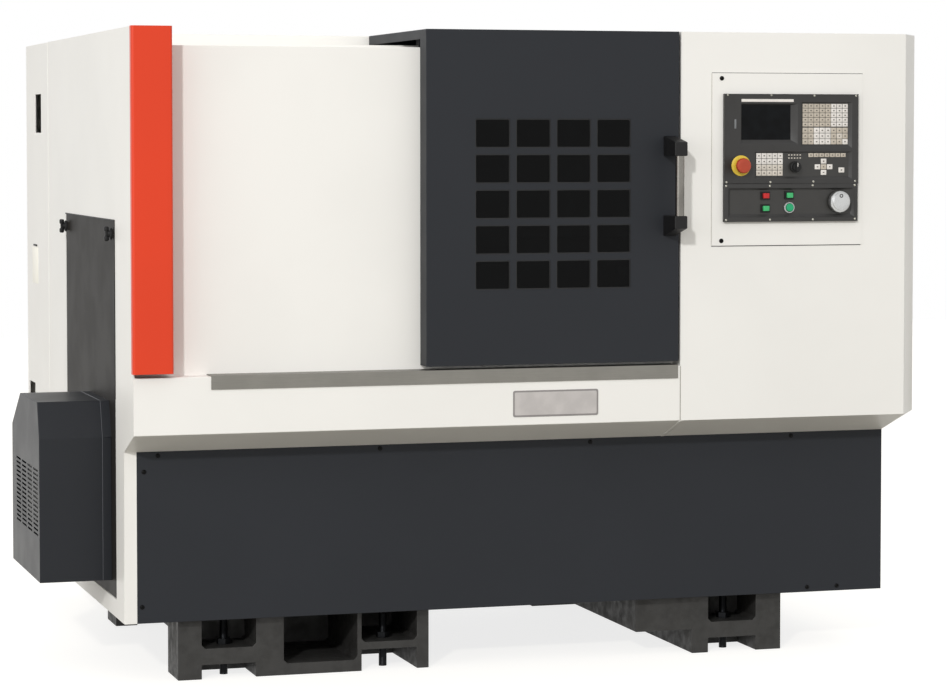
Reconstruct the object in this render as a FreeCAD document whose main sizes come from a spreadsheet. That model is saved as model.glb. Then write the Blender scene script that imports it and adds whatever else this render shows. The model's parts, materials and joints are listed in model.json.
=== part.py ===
import FreeCAD, Part
import math
import os
import re

import Sketcher
from FreeCAD import Rotation, Vector

# A fully enclosed slant-bed turning lathe, in millimetres.
#
# Every size is first given from the machine's own corner: x runs to the right
# from the left end cover, y runs back from the plane of the front covers, and
# z runs up from the floor. Each sub-part's Placement then moves it so that the
# origin is on the floor under the middle of the machine.
#
# What lies on the sloping bed is drawn in the bed's own axes: x as before,
# u up the slope and n square to it, measured from the foot of the
# perpendicular that drops from the spindle axis onto the bed.

os.makedirs("parts", exist_ok=True)
doc = FreeCAD.newDocument("turning_lathe")

DIMENSIONS = {
    # the machine and its covers
    "body_length": (2400, "left end cover to right end of the casing"),
    "body_depth": (1960, "front covers to the rear of the electrical cabinet"),
    "body_height": (1850, "floor to the top of the roof"),
    "sheet": (3, "thickness of the folded sheet covers"),
    "hood_reach": (207, "how far the motor hood stands out on the left"),
    "handle_reach": (101, "how far the door handle stands out in front"),
    "switch_reach": (40, "how far the main switch stands out at the rear"),
    "chamfer_along": (81, "front right corner chamfer, along the front"),
    "chamfer_back": (112, "front right corner chamfer, along the side"),
    "cabinet_left": (1608, "left edge of the control cabinet"),
    "band_bottom": (721, "lower edge of the front band"),
    "band_top": (881, "ledge under the door"),
    "kick_top": (661, "top of the kick panel, where the band's slope ends"),
    "kick_bottom": (175, "bottom edge of the kick panel"),
    "kick_back": (155, "set-back of the kick panel"),
    "kick_left": (36, "left edge of the kick panel"),
    "kick_right": (2320, "right edge of the kick panel"),
    "panel_back": (62, "set-back of the fixed front panel"),
    "panel_bottom": (893, "bottom seam of the fixed front panel"),
    "front_roof": (1800, "top of the lower roof over the door's path"),
    "rear_seam": (1476, "rear wall of the machine, front of the electrics"),
    "housing_front": (625, "front edge of the full-height rear roof"),
    "post_left": (-6, "left side of the corner post"),
    "post_right": (109, "right side of the corner post"),
    "post_proud": (25, "how far the corner post stands in front"),
    "post_radius": (8, "rounding of the corner post's edges"),
    # the sliding door
    "door_left": (838, "left edge of the closed door"),
    "door_right": (1600, "right edge of the closed door"),
    "door_bottom": (895, "bottom edge of the door"),
    "door_proud": (5, "door face in front of the front plane"),
    "door_return": (58, "how far back the door's side folds reach"),
    "door_flange": (27, "height of the fold round the door's top"),
    "window_left": (982, "left edge of the first window pane"),
    "window_bottom": (1110, "bottom edge of the lowest panes"),
    "pane_width": (105, "one pane of the window"),
    "pane_height": (84, "one pane of the window"),
    "pane_pitch": (121.7, "pane to pane across"),
    "pane_rise": (101, "pane to pane upwards"),
    "pane_corner": (4, "cut corner of a pane"),
    "handle_x": (1571, "middle of the handle bar"),
    "handle_width": (39, "width of a handle bracket"),
    "handle_low": (1259, "lowest point of the handle"),
    "handle_high": (1549, "highest point of the handle"),
    "bar_low": (1319, "lower end of the bar's free length"),
    "bar_high": (1491, "upper end of the bar's free length"),
    "bar_radius": (13, "handle bar"),
    "rail_left": (218, "left end of the steel sill rail"),
    "rail_bottom": (845, "lower edge of the steel sill rail"),
    # the left end
    "access_front": (279, "front edge of the belt access opening"),
    "access_back": (1133, "rear edge of the belt access opening"),
    "access_bottom": (227, "bottom edge of the belt access opening"),
    "access_top": (1309, "top edge of the belt access opening"),
    "hood_front": (357, "front side of the motor hood"),
    "hood_back": (885, "rear side of the motor hood"),
    "hood_bottom": (272, "underside of the motor hood"),
    "hood_shoulder": (685, "where the hood's slopes start"),
    "hood_top": (788, "flat top of the motor hood"),
    "hood_top_front": (391, "front edge of the flat top"),
    "hood_top_back": (721, "rear edge of the flat top"),
    "hood_seam": (25, "hood seam from the end cover"),
    "slot_front": (385, "first column of air slots"),
    "slot_low": (403, "lowest row of air slots"),
    "slot_length": (85, "one air slot"),
    "slot_height": (6, "one air slot"),
    "slot_pitch": (110, "air slot columns"),
    "slot_rise": (13.2, "air slot rows"),
    "window_size": (126, "square openings in the cabinet's left side"),
    # the electrical cabinet
    "electrics_length": (1100, "length of the electrical cabinet"),
    "electrics_back": (1940, "rear edge of the cabinet's box"),
    "hinge_x": (1104, "hinge line of the cabinet door"),
    "hinge_y": (1950, "hinge line of the cabinet door"),
    # the drive line
    "spindle_y": (700, "spindle axis"),
    "spindle_z": (1080, "spindle axis above the floor"),
    "spindle_rear": (110, "rear end of the spindle"),
    "headstock_right": (640, "right face of the headstock"),
    "nose_face": (700, "front face of the spindle nose"),
    "bar_bore": (26, "radius of the through bore"),
    "nose_radius": (88, "spindle nose flange"),
    "journal": (50, "radius at the bearings and the tail"),
    "running_gap": (0.05, "radial clearance of a running fit"),
    "bearing_radius": (80, "outer radius of the bearings"),
    "chuck_radius": (125, "three-jaw chuck"),
    "chuck_length": (90, "chuck body along the axis"),
    "jaw_width": (36, "top jaw"),
    "belt_left": (137, "left edge of the belt"),
    "belt_width": (56, "belt"),
    "belt_thick": (8, "belt"),
    "belt_gap": (0.5, "belt to pulley"),
    "driven_radius": (120, "spindle pulley"),
    "driver_radius": (80, "motor pulley"),
    "motor_y": (620, "motor axis"),
    "motor_z": (510, "motor axis above the floor"),
    "motor_radius": (118, "motor body"),
    "shaft_radius": (24, "motor shaft"),
    "shaft_left": (-120, "left end of the motor shaft, inside the motor"),
    # the bed
    "bed_left": (160, "left end of the bed's feet"),
    "bed_body": (240, "left end of the bed's body"),
    "bed_right": (2009, "right end of the bed"),
    "bed_front": (195, "front face of the feet"),
    "bed_back": (1340, "rear face of the bed"),
    "arch_left": (902, "right end of the left base"),
    "arch_right": (1544, "left end of the right base"),
    "arch_top": (430, "underside of the beam between the bases"),
    "front_feet": (640, "rear of the front feet"),
    "rear_feet": (1190, "front of the rear feet"),
    "foot_left": (232, "where the left base steps back"),
    "foot_right": (1722, "left edge of the right front foot"),
    "floor_gap": (72, "under the bases, between their feet"),
    "recess_top": (230, "top of the recesses in the feet"),
    "pocket_floor": (960, "how far forward the rear pockets reach"),
    "tank_floor": (185, "underside of the coolant tank"),
    "bed_angle": (45, "slope of the bed"),
    "foot_y": (884, "foot of the perpendicular from the spindle axis"),
    "foot_z": (896, "foot of the perpendicular from the spindle axis"),
    "centre_height": (260.215, "spindle axis above the bed, square to it"),
    "bed_top": (1212, "flat top of the bed behind the slope"),
    "screw_radius": (12, "levelling screw"),
    "screw_clear": (4, "from a screw's round foot up to the casting"),
    "cast_corner": (10, "corner of a cast recess"),
    "guide_low": (-130, "lower guide rail, up the slope"),
    "guide_high": (170, "upper guide rail, up the slope"),
    "guide_left": (760, "left end of the guide rails"),
    "guide_right": (2000, "right end of the guide rails"),
    "guide_height": (30, "guide rail"),
    "ball_screw": (16, "radius of the lengthwise ball screw"),
    "ball_screw_n": (-12, "axis of the lengthwise ball screw"),
    # carriage, turret and tailstock
    "saddle_left": (1150, "left end of the saddle"),
    "saddle_right": (1410, "right end of the saddle"),
    "saddle_top": (96, "top of the saddle above the bed"),
    "turret_face": (1080, "left face of the turret disc"),
    "turret_thick": (54, "turret disc"),
    "turret_u": (330, "turret axis up the slope"),
    "turret_radius": (150, "turret disc across flats, half"),
    "tool_reach": (210, "tool tip from the turret axis"),
    "socket_radius": (16, "boring bar socket in the disc"),
    "socket_circle": (112, "radius of the circle of sockets"),
    "tail_left": (1760, "left face of the tailstock"),
    "tail_right": (1960, "right face of the tailstock"),
    "quill_radius": (45, "tailstock quill"),
    "taper_radius": (16, "live centre's shank"),
    "centre_radius": (27, "live centre's body"),
    # the controls
    "plate_left": (1704, "control plate"),
    "plate_right": (2179, "control plate"),
    "plate_bottom": (1229, "control plate"),
    "plate_top": (1731, "control plate"),
    "unit_left": (1737, "control units"),
    "unit_right": (2160, "control units"),
    "unit_bottom": (1298, "lower edge of the operator panel"),
    "unit_split": (1409, "between the two units"),
    "unit_top": (1671, "upper edge of the screen unit"),
    "unit_back": (55, "rear of the control units, in front of the chamber's wall"),
    "unit_front": (15, "face of the units in front of the front plane"),
}

SIZE = {name: value for name, (value, _) in DIMENSIONS.items()}
sheet = doc.addObject("Spreadsheet::Sheet", "dims")
for row, (name, (value, meaning)) in enumerate(DIMENSIONS.items(), start=1):
    sheet.set(f"A{row}", meaning)
    sheet.set(f"B{row}", str(value))
    sheet.setAlias(f"B{row}", name)
doc.recompute()


def formula(text):
    """A length written with the sheet's names, as an expression of the document."""
    word = re.compile(r"[a-z]\w*")
    return word.sub(lambda found: "dims." + found[0] if found[0] in SIZE else found[0], str(text))


def bind(thing, **lengths):
    """Bind properties to formulas. base_x, base_y and base_z mean the Placement."""
    for name, text in lengths.items():
        name = name.replace("base_", "Placement.Base.")
        thing.setExpression(name, formula(text))
    return thing


# ---------------------------------------------------------------- simple solids

TO_X = Rotation(Vector(1, 1, 1), 120)
TO_Y = Rotation(Vector(1, 0, 0), 90)
UPRIGHT = {"x": Rotation(Vector(0, 1, 0), 90), "y": Rotation(Vector(1, 0, 0), -90), "z": Rotation()}


def box(x0, x1, y0, y1, z0, z1):
    """A block between two corners."""
    block = doc.addObject("Part::Box", "block")
    bind(block, Length=f"({x1}) - ({x0})", Width=f"({y1}) - ({y0})", Height=f"({z1}) - ({z0})")
    return bind(block, base_x=x0, base_y=y0, base_z=z0)


def rod(axis, start, across, radius):
    """A cylinder along an axis. start is (from, to); across gives the other two coordinates."""
    cylinder = doc.addObject("Part::Cylinder", "rod")
    cylinder.Placement.Rotation = UPRIGHT[axis]
    bind(cylinder, Radius=radius, Height=f"({start[1]}) - ({start[0]})")
    places = list(across)
    places.insert("xyz".index(axis), start[0])
    return bind(cylinder, base_x=places[0], base_y=places[1], base_z=places[2])


def sided(count, axis, start, across, radius):
    """A piece with that many flats, such as a nut or a grip, along an axis."""
    piece = doc.addObject("Part::Prism", "sided")
    piece.Polygon = count
    piece.Placement.Rotation = UPRIGHT[axis]
    bind(piece, Circumradius=radius, Height=f"({start[1]}) - ({start[0]})")
    places = list(across)
    places.insert("xyz".index(axis), start[0])
    return bind(piece, base_x=places[0], base_y=places[1], base_z=places[2])


def flats(count, axis, start, across, inner):
    """A many-sided piece by the radius inside its flats, for a hole that seats a round part."""
    return sided(count, axis, start, across, f"({inner}) / cos(180 / {count})")


def outline(corners):
    """A closed sketch whose corners are each held at a place bound to the sheet."""
    sketch = doc.addObject("Sketcher::SketchObject", "outline")
    count = len(corners)
    turn = [2 * math.pi * i / count for i in range(count)]
    start = [Vector(100 * math.cos(a), 100 * math.sin(a), 0) for a in turn]
    edges = [Part.LineSegment(start[i], start[(i + 1) % count]) for i in range(count)]
    sketch.addGeometry(edges, False)
    joins = [Sketcher.Constraint("Coincident", i, 2, (i + 1) % count, 1) for i in range(count)]
    sketch.addConstraint(joins)
    for i, corner in enumerate(corners):
        for way, text, guess in zip("XY", corner, (start[i].x, start[i].y)):
            place = sketch.addConstraint(Sketcher.Constraint("Distance" + way, -1, 1, i, 1, guess))
            sketch.renameConstraint(place, f"corner{i}{way}")
            sketch.setExpression(f"Constraints.corner{i}{way}", formula(text))
    return sketch


def prism(axis, start, corners):
    """A profile drawn across an axis and drawn out along it. start is (from, to)."""
    sketch = outline(corners)
    solid = doc.addObject("Part::Extrusion", "prism")
    solid.Base = sketch
    solid.DirMode = "Custom"
    solid.Dir = Vector(*[float(axis == name) for name in "xyz"])
    solid.Solid = True
    sketch.Placement.Rotation = {"x": TO_X, "y": TO_Y, "z": Rotation()}[axis]
    bind(sketch, **{"base_" + axis: start[0]})
    return bind(solid, LengthFwd=f"({start[1]}) - ({start[0]})")


def turned(corners):
    """A turned solid round the x axis. Each corner is (x, radius)."""
    solid = doc.addObject("Part::Revolution", "turned")
    solid.Source = outline(corners)
    solid.Axis = Vector(1, 0, 0)
    solid.Angle = 360
    solid.Solid = True
    return solid


def turn_about_x(thing, angle):
    """Turn a piece about the x axis of its own drawing."""
    moved = doc.addObject("Part::Compound", "turned_piece")
    moved.Links = [thing]
    moved.Placement = FreeCAD.Placement(Vector(), Rotation(Vector(1, 0, 0), angle))
    return moved


def radial(x0, x1, width, inner, outer, angle):
    """A block across the x axis, from an inner to an outer radius, turned by an angle."""
    half = f"({width}) / 2"
    return turn_about_x(box(x0, x1, f"-{half}", half, inner, outer), angle)


def fuse(*solids):
    """Several solids as one."""
    if len(solids) == 1:
        return solids[0]
    whole = doc.addObject("Part::MultiFuse", "whole")
    whole.Shapes = list(solids)
    whole.Refine = True
    return whole


def cut(solid, *tools):
    """A solid with others cut out of it."""
    result = doc.addObject("Part::Cut", "cut")
    result.Base = solid
    result.Tool = fuse(*tools)
    result.Refine = True
    return result


def soften(solid, radius, axis, low=None, high=None):
    """Round the edges that run along an axis; low and high limit how far out they lie."""
    doc.recompute()
    chosen = []
    for number, edge in enumerate(solid.Shape.Edges, start=1):
        if edge.Curve.TypeId != "Part::GeomLine":
            continue
        along = edge.Curve.Direction
        if abs(abs(getattr(along, axis)) - 1) < 1e-6:
            centre = edge.CenterOfMass
            if low is None or all(a <= b <= c for a, b, c in zip(low, centre, high)):
                chosen.append((number, SIZE[radius], SIZE[radius]))
    round_edges = doc.addObject("Part::Fillet", "rounded")
    round_edges.Base = solid
    round_edges.Edges = chosen
    return round_edges


# ---------------------------------------------------------------- sub-parts

MIDDLE_X = "(body_length - hood_reach) / 2"
MIDDLE_Y = "(body_depth + switch_reach - handle_reach) / 2"
CORNER = ("0", "0", "0")
SPINDLE = ("0", "spindle_y", "spindle_z")
MOTOR = ("0", "motor_y", "motor_z")
BED = ("0", "foot_y", "foot_z")
subparts = []


def subpart(label, *solids, at=CORNER, sloping=False):
    """Gather solids into one named sub-part and give it its place in the machine."""
    piece = doc.addObject("Part::Compound", label)
    piece.Links = list(solids)
    piece.Label = label
    if sloping:
        piece.Placement.Rotation = Rotation(Vector(1, 0, 0), SIZE["bed_angle"])
    bind(piece, base_x=f"{at[0]} - {MIDDLE_X}", base_y=f"{at[1]} - {MIDDLE_Y}", base_z=at[2])
    subparts.append(piece)
    return piece


# The bed is one iron casting: two bases with feet, joined by a sloping beam.
# In each foot a shelf carries a levelling screw, with a recess above it for the
# spanner and a notch below it. The trough between the rails holds the ball screw.

FOOT_NOTCHES = [  # left, right, depth, top of the notch, top of the shelf
    (229, 387, 149, 41, 88),
    (700, 866, 270, 62, 84),
    (1775, 1928, 150, 44, 92),
]
SCREW_X = [(left + right) / 2 for left, right, *_ in FOOT_NOTCHES]
SCREW_Y = (270, 1265)
REAR_POCKETS = [(290, 850, 300), (950, 1490, 500), (1590, 1960, 300)]  # left, right, bottom


def slab(x0, x1, u0, u1, n0, n1):
    """A block lying in the bed's own axes, placed in the machine's."""
    block = doc.addObject("Part::Box", "slab")
    block.Placement.Rotation = Rotation(Vector(1, 0, 0), SIZE["bed_angle"])
    bind(block, Length=f"({x1}) - ({x0})", Width=f"({u1}) - ({u0})", Height=f"({n1}) - ({n0})")
    bind(block, base_x=x0)
    bind(block, base_y=f"foot_y + ({u0}) * cos(bed_angle) - ({n0}) * sin(bed_angle)")
    return bind(block, base_z=f"foot_z + ({u0}) * sin(bed_angle) + ({n0}) * cos(bed_angle)")


def recess(x0, x1, y0, y1, z0, z1):
    """A cast recess from the front or rear, with its corners cut off."""
    cut_corner = "cast_corner"
    return prism("y", (y0, y1), [
        (f"{x0} + {cut_corner}", z0), (f"{x1} - {cut_corner}", z0), (x1, f"{z0} + {cut_corner}"),
        (x1, f"{z1} - {cut_corner}"), (f"{x1} - {cut_corner}", z1), (f"{x0} + {cut_corner}", z1),
        (x0, f"{z1} - {cut_corner}"), (x0, f"{z0} + {cut_corner}")])


def bed_casting():
    """The two bases, the sloping body and everything cast or bored into them."""
    slope_start = "foot_y - 404"
    body = prism("x", ("bed_body", "bed_right"), [
        (slope_start, "250"), (slope_start, "foot_z - 404"),
        ("foot_y + bed_top - foot_z", "bed_top"), ("bed_back", "bed_top"), ("bed_back", "250")])
    left_base = box("bed_left", "arch_left", "bed_front", "bed_back", 0, 250)
    right_base = box("arch_right", "bed_right", "bed_front", "bed_back", 0, 250)
    ribs = [box("arch_left", "arch_right", y, y + 40, 150, "tank_floor") for y in (400, 1200)]
    tools = [
        box("arch_left", "arch_right", "bed_front - 1", "bed_back + 1", "tank_floor", "arch_top"),
        box("bed_left - 1", "foot_left", "bed_front + 149", "rear_feet", -1, 251),
        box("foot_left", "arch_left + 1", "front_feet", "rear_feet", -1, "floor_gap"),
        box("arch_right - 1", "foot_right + 1", "bed_front - 1", "rear_feet", -1, "floor_gap"),
        box("foot_right", "bed_right + 1", "front_feet", "rear_feet", -1, "floor_gap"),
        recess(469, 687, "bed_front - 20", "bed_front + 345", 34, "recess_top"),
        box("foot_left + 30", "arch_left - 30", "front_feet + 20", "rear_feet - 30", -1, 240),
        box("arch_right + 30", "bed_right - 40", "front_feet + 20", "rear_feet - 30", -1, 240),
        slab("guide_left", "bed_right + 1", -60, 60, -50, 1),
    ]
    for left, right, bottom in REAR_POCKETS:
        tools.append(recess(left, right, "pocket_floor", "bed_back + 1", bottom, 806))
    for left, right, depth, notch, shelf in FOOT_NOTCHES:
        for front, back in (("bed_front - 1", f"bed_front + {depth}"), ("rear_feet", "bed_back + 1")):
            tools.append(box(left, right, front, back, -1, notch))
            tools.append(recess(left, right, front, back, shelf, "recess_top"))
    for x in SCREW_X:
        for y in SCREW_Y:
            tools.append(sided(8, "z", (-1, 120), (x, y), "screw_radius * 1.15"))
    bed = cut(fuse(body, left_base, right_base, *ribs), *tools)
    bore = rod("x", ("guide_left - 60", "guide_left + 1"), (0, "ball_screw_n"),
               "ball_screw + running_gap")
    hole = doc.addObject("Part::Compound", "screw_hole")
    hole.Links = [bore]
    hole.Placement.Rotation = Rotation(Vector(1, 0, 0), SIZE["bed_angle"])
    bind(hole, base_y="foot_y", base_z="foot_z")
    subpart("bed_casting", cut(bed, hole))


def levelling_screws():
    """Six screws that stand on the floor: round foot, sides to turn it by through the foot, and a nut."""
    screws = []
    for x, (_, _, _, notch, shelf) in zip(SCREW_X, FOOT_NOTCHES):
        for y in SCREW_Y:
            foot = rod("z", (0, f"{notch} - screw_clear"), (x, y), "screw_radius")
            nut = sided(6, "z", (shelf, f"{shelf} + 1.4 * screw_radius"), (x, y), "1.8 * screw_radius")
            shank = sided(8, "z", (f"{notch} - screw_clear", f"{shelf} + 70"), (x, y), "screw_radius")
            screws.append(fuse(foot, nut, shank))
    subpart("levelling_screws", *screws)


# ---------------------------------------------------------------- casing

def access(grow, x0, x1):
    """A block the size of the belt access opening, grown all round."""
    return box(x0, x1, f"access_front - {grow}", f"access_back + {grow}",
               f"access_bottom - {grow}", f"access_top + {grow}")


def left_end_cover():
    """The white left end, with the rimmed opening for the belt and the fold beside the kick panel."""
    side = prism("x", (0, "sheet"), [
        (0, "body_height"), (0, "band_bottom"), ("kick_back", "kick_top"),
        ("kick_back", "kick_bottom"), ("rear_seam", "kick_bottom"), ("rear_seam", "body_height")])
    fold = box(0, "kick_left", "kick_back", "kick_back + sheet", "kick_bottom", "kick_top")
    opening = box(-1, "sheet + 1", "access_front", "access_back", "access_bottom", "access_top")
    rim = cut(access(15, "sheet", "2 * sheet"), access(-20, "sheet - 1", "2 * sheet + 1"))
    subpart("left_end_cover", fuse(cut(fuse(side, fold), opening), rim))


LATCH_Y = (307, 1095)
LATCH_Z = 1271


def belt_access_panel():
    """The lift-off panel that lies in the opening on its rim, with the seats of its two latches."""
    plate = access(-2, 1, "sheet")
    motor_hole = prism("x", (0, "sheet + 1"), hood_outline("20"))
    seats = [box(-4, "sheet", y - 24, y + 24, LATCH_Z - 13, LATCH_Z + 13) for y in LATCH_Y]
    holes = [box(-5, "sheet + 1", y - 6.5, y + 6.5, LATCH_Z - 6.5, LATCH_Z + 6.5) for y in LATCH_Y]
    subpart("belt_access_panel", cut(fuse(plate, *seats), motor_hole, *holes))


def panel_latches():
    """Two quarter-turn latches: a round knob with a grip, and a tongue behind the rim."""
    for name, y in zip(("panel_latch_front", "panel_latch_rear"), LATCH_Y):
        base = sided(12, "x", (-14, -4.5), (y, LATCH_Z), 15)
        grip = box(-30, -13, y - 5, y + 5, LATCH_Z - 14, LATCH_Z + 14)
        stem = sided(8, "x", (-5, 12), (y, LATCH_Z), 6)
        tongue = box("2 * sheet + 0.5", 11, y - 9, y + 9, LATCH_Z - 6, LATCH_Z + 60)
        subpart(name, fuse(base, grip, stem, tongue))


def hood_outline(inset):
    """The hood seen from the left, drawn in by an inset."""
    side = f"{inset} * 0.6"
    return [
        (f"hood_front + {inset}", f"hood_bottom + {inset}"),
        (f"hood_back - {inset}", f"hood_bottom + {inset}"),
        (f"hood_back - {inset}", f"hood_shoulder - {side}"),
        (f"hood_top_back - {side}", f"hood_top - {inset}"),
        (f"hood_top_front + {inset}", f"hood_top - {inset}"),
        (f"hood_front + {inset}", f"hood_shoulder - {side}")]


def motor_hood():
    """The folded hood over the motor, open towards the machine, with its field of air slots."""
    body = doc.addObject("PartDesign::Body", "hood_end")
    yz = next(f for f in body.Origin.OriginFeatures if f.Role == "YZ_Plane")

    def on_end(corners, name):
        """A sketch on the end face; its corners are held as in any other outline."""
        drawn = outline(corners)
        body.addObject(drawn)
        drawn.AttachmentSupport = [(yz, "")]
        drawn.MapMode = "FlatFace"
        drawn.Label = name
        return drawn

    end = body.newObject("PartDesign::Pad", "end_plate")
    end.Profile = on_end(hood_outline("0"), "hood_end_outline")
    bind(end, Length="sheet")
    slot_sketch = on_end([
        ("slot_front", "slot_low"), ("slot_front + slot_length", "slot_low"),
        ("slot_front + slot_length", "slot_low + slot_height"),
        ("slot_front", "slot_low + slot_height")], "air_slot")
    slot = body.newObject("PartDesign::Pocket", "air_slot")
    slot.Profile = slot_sketch
    slot.Type = "ThroughAll"
    slot.Midplane = True
    field = body.newObject("PartDesign::LinearPattern", "air_slots")
    field.Originals = [slot]
    field.Direction = (slot_sketch, ["H_Axis"])
    field.Direction2 = (slot_sketch, ["V_Axis"])
    bind(field, Length="3 * slot_pitch", Length2="14 * slot_rise")
    field.Occurrences = 4
    field.Occurrences2 = 15
    body.Tip = field
    bind(body, base_x="-hood_reach")
    walls = cut(prism("x", ("sheet - hood_reach", "-hood_seam"), hood_outline("0")),
                prism("x", ("sheet - hood_reach - 1", "1 - hood_seam"), hood_outline("sheet")))
    subpart("motor_hood", fuse(body, walls))


def hood_collar():
    """The short rear piece of the hood, fixed to the access panel."""
    ring = cut(prism("x", ("-hood_seam", 1), hood_outline("0")),
               prism("x", ("-hood_seam - 1", 2), hood_outline("sheet")))
    subpart("hood_collar", ring)


def corner_post():
    """The proud folded post at the front left corner, with rounded edges and a closed top."""
    skin = soften(prism("z", ("panel_bottom", "body_height"), [
        ("post_left", "-post_proud"), ("post_right", "-post_proud"), ("post_right", "panel_back"),
        ("post_left", "panel_back")]), "post_radius", "z", (-50, -50, 0), (150, 0, 3000))
    core = box("post_left + sheet", "post_right - sheet", "sheet - post_proud", "panel_back + 1",
               "panel_bottom - 1", "body_height - sheet")
    corner = box("post_left - 1", "sheet", 0, "panel_back + 1", "panel_bottom - 1", "body_height + 1")
    subpart("corner_post", cut(skin, core, corner))


def front_canopy():
    """The fixed front panel and the lower roof that runs back from it, welded into one."""
    panel = box("sheet", "door_left + 30", "panel_back", "panel_back + sheet",
                "panel_bottom", "front_roof")
    roof = box("sheet", "cabinet_left", "panel_back", "housing_front", "front_roof - sheet", "front_roof")
    subpart("front_canopy", fuse(panel, roof))


def rear_canopy():
    """The full-height rear roof, its front step and the rear wall, folded from one sheet."""
    subpart("rear_canopy", prism("x", ("sheet", "cabinet_left"), [
        ("housing_front", "front_roof - sheet"), ("housing_front", "body_height"),
        ("rear_seam", "body_height"), ("rear_seam", "kick_bottom"),
        ("rear_seam - sheet", "kick_bottom"), ("rear_seam - sheet", "body_height - sheet"),
        ("housing_front + sheet", "body_height - sheet"),
        ("housing_front + sheet", "front_roof - sheet")]))


def front_band():
    """The white band under the door: upstand, ledge, face and the slope to the kick panel."""
    subpart("front_band", prism("x", ("sheet", "cabinet_left"), [
        ("panel_back + sheet", "panel_bottom"), ("panel_back", "panel_bottom"),
        ("panel_back", "band_top"), (0, "band_top"), (0, "band_bottom"),
        ("kick_back", "kick_top"), ("kick_back", "kick_top + 1.1 * sheet"),
        ("sheet", "band_bottom + sheet / 1.5"), ("sheet", "band_top - sheet"),
        ("panel_back + sheet", "band_top - sheet")]))


def sill_rail():
    """The steel angle over the edge of the ledge that the door runs along."""
    subpart("sill_rail", prism("x", ("rail_left", "door_right"), [
        ("panel_back", "band_top"), ("panel_back", "band_top + sheet"), ("-sheet", "band_top + sheet"),
        ("-sheet", "rail_bottom"), (0, "rail_bottom"), (0, "band_top")]))


def plan(inset):
    """The control cabinet from above, drawn in by an inset."""
    return [
        (f"cabinet_left + {inset}", inset),
        (f"body_length - chamfer_along - 0.6 * {inset}", inset),
        (f"body_length - {inset}", f"chamfer_back + 0.4 * {inset}"),
        (f"body_length - {inset}", f"rear_seam - {inset}"),
        (f"cabinet_left + {inset}", f"rear_seam - {inset}")]


CUTOUT = ("unit_left + 14", "unit_right - 14", "unit_bottom + 14", "unit_top - 14")


def skirt(inset):
    """The underside of the control cabinet, sloping in to the kick panel."""
    top = outline(plan(inset))
    bind(top, base_z="band_bottom")
    bottom = outline([
        (f"cabinet_left + {inset}", f"kick_back + {inset}"),
        (f"kick_right - 2 - {inset}", f"kick_back + {inset}"),
        (f"kick_right - {inset}", f"kick_back + 2 + {inset}"),
        (f"kick_right - {inset}", f"rear_seam - {inset}"),
        (f"cabinet_left + {inset}", f"rear_seam - {inset}")])
    bind(bottom, base_z="kick_top")
    solid = doc.addObject("Part::Loft", "skirt")
    solid.Sections = [bottom, top]
    solid.Solid = True
    solid.Ruled = True
    return solid


def right_cabinet():
    """The white control cabinet: chamfered front corner, right end, rear wall and roof."""
    shell = fuse(prism("z", ("band_bottom", "body_height"), plan("0")), skirt("0"))
    hollow = fuse(prism("z", ("band_bottom - 0.5", "body_height - sheet"), plan("sheet")), skirt("sheet"))
    doorway = box("cabinet_left - 1", "cabinet_left + 4 * sheet", "panel_back", "rear_seam - sheet",
                  "kick_top - 1", "front_roof - sheet")
    low_side = box("cabinet_left - 1", "cabinet_left + 4 * sheet", "kick_back + sheet",
                   "rear_seam - sheet", "kick_top - 1", "band_bottom + 1")
    cutout = box(*CUTOUT[:2], -1, "sheet + 1", *CUTOUT[2:])
    base_side = box("kick_right - sheet", "kick_right", "kick_back + sheet", "rear_seam",
                    "kick_bottom", "kick_top + 1")
    base_rear = box("cabinet_left", "kick_right", "rear_seam - sheet", "rear_seam",
                    "kick_bottom", "kick_top + 1")
    open_bottom = box("cabinet_left + sheet", "kick_right - sheet", "kick_back + sheet",
                      "rear_seam - sheet", "kick_top - 1", "kick_top + 4")
    walls = cut(shell, hollow, doorway, low_side, cutout, open_bottom)
    subpart("right_cabinet", fuse(walls, base_side, base_rear))


def kick_panel():
    """The dark screwed-on panel below the band, with its lower edge folded back."""
    face = box("kick_left", "kick_right", "kick_back", "kick_back + sheet", "kick_bottom", "kick_top")
    lip = box("kick_left", "kick_right - sheet", "kick_back", "kick_back + 20", "kick_bottom",
              "kick_bottom + sheet")
    subpart("kick_panel", fuse(face, lip))


KICK_SCREWS = [(97, 649), (57, 604), (50, 222), (745, 650), (1385, 650), (2023, 650),
               (2078, 190), (2175, 190)]
PLATE_SCREWS = [(1733, 1716), (1733, 1243)]


def panel_screws():
    """The heads of the screws that hold the kick panel and the control plate."""
    heads = [sided(6, "y", ("kick_back - 3", "kick_back"), place, 6) for place in KICK_SCREWS]
    heads += [sided(6, "y", (-6, "-sheet"), place, 5) for place in PLATE_SCREWS]
    subpart("panel_screws", *heads)


def chamber_liner():
    """The inner splash guard: left wall with the spindle opening, chip slope and right wall."""
    def wall(x0, lift):
        rise = f"foot_z - foot_y + {lift}"
        return prism("x", (x0, f"{x0} + sheet"), [
            ("panel_back", "band_top - sheet"), ("panel_back + sheet", "band_top - sheet"),
            ("panel_back + sheet", "front_roof - sheet"),
            ("rear_seam - sheet", "front_roof - sheet"), ("rear_seam - sheet", f"bed_top + {lift}"),
            (f"bed_top + {lift} - ({rise})", f"bed_top + {lift}"), ("480", f"480 + {rise}"),
            ("480", "430"), ("300", "430"), ("182", "690")])
    left = cut(wall("655", "0"), rod("x", (650, 665), ("spindle_y", "spindle_z"), 100))
    right = wall("2060", "83")
    slope = prism("x", ("655 + sheet", "2060"), [
        ("panel_back", "band_top - sheet"), ("panel_back + sheet", "band_top - sheet"),
        ("185", "690"), ("303", "430"), ("300", "430"), ("182", "690")])
    subpart("chamber_liner", left, right, slope)


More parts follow.
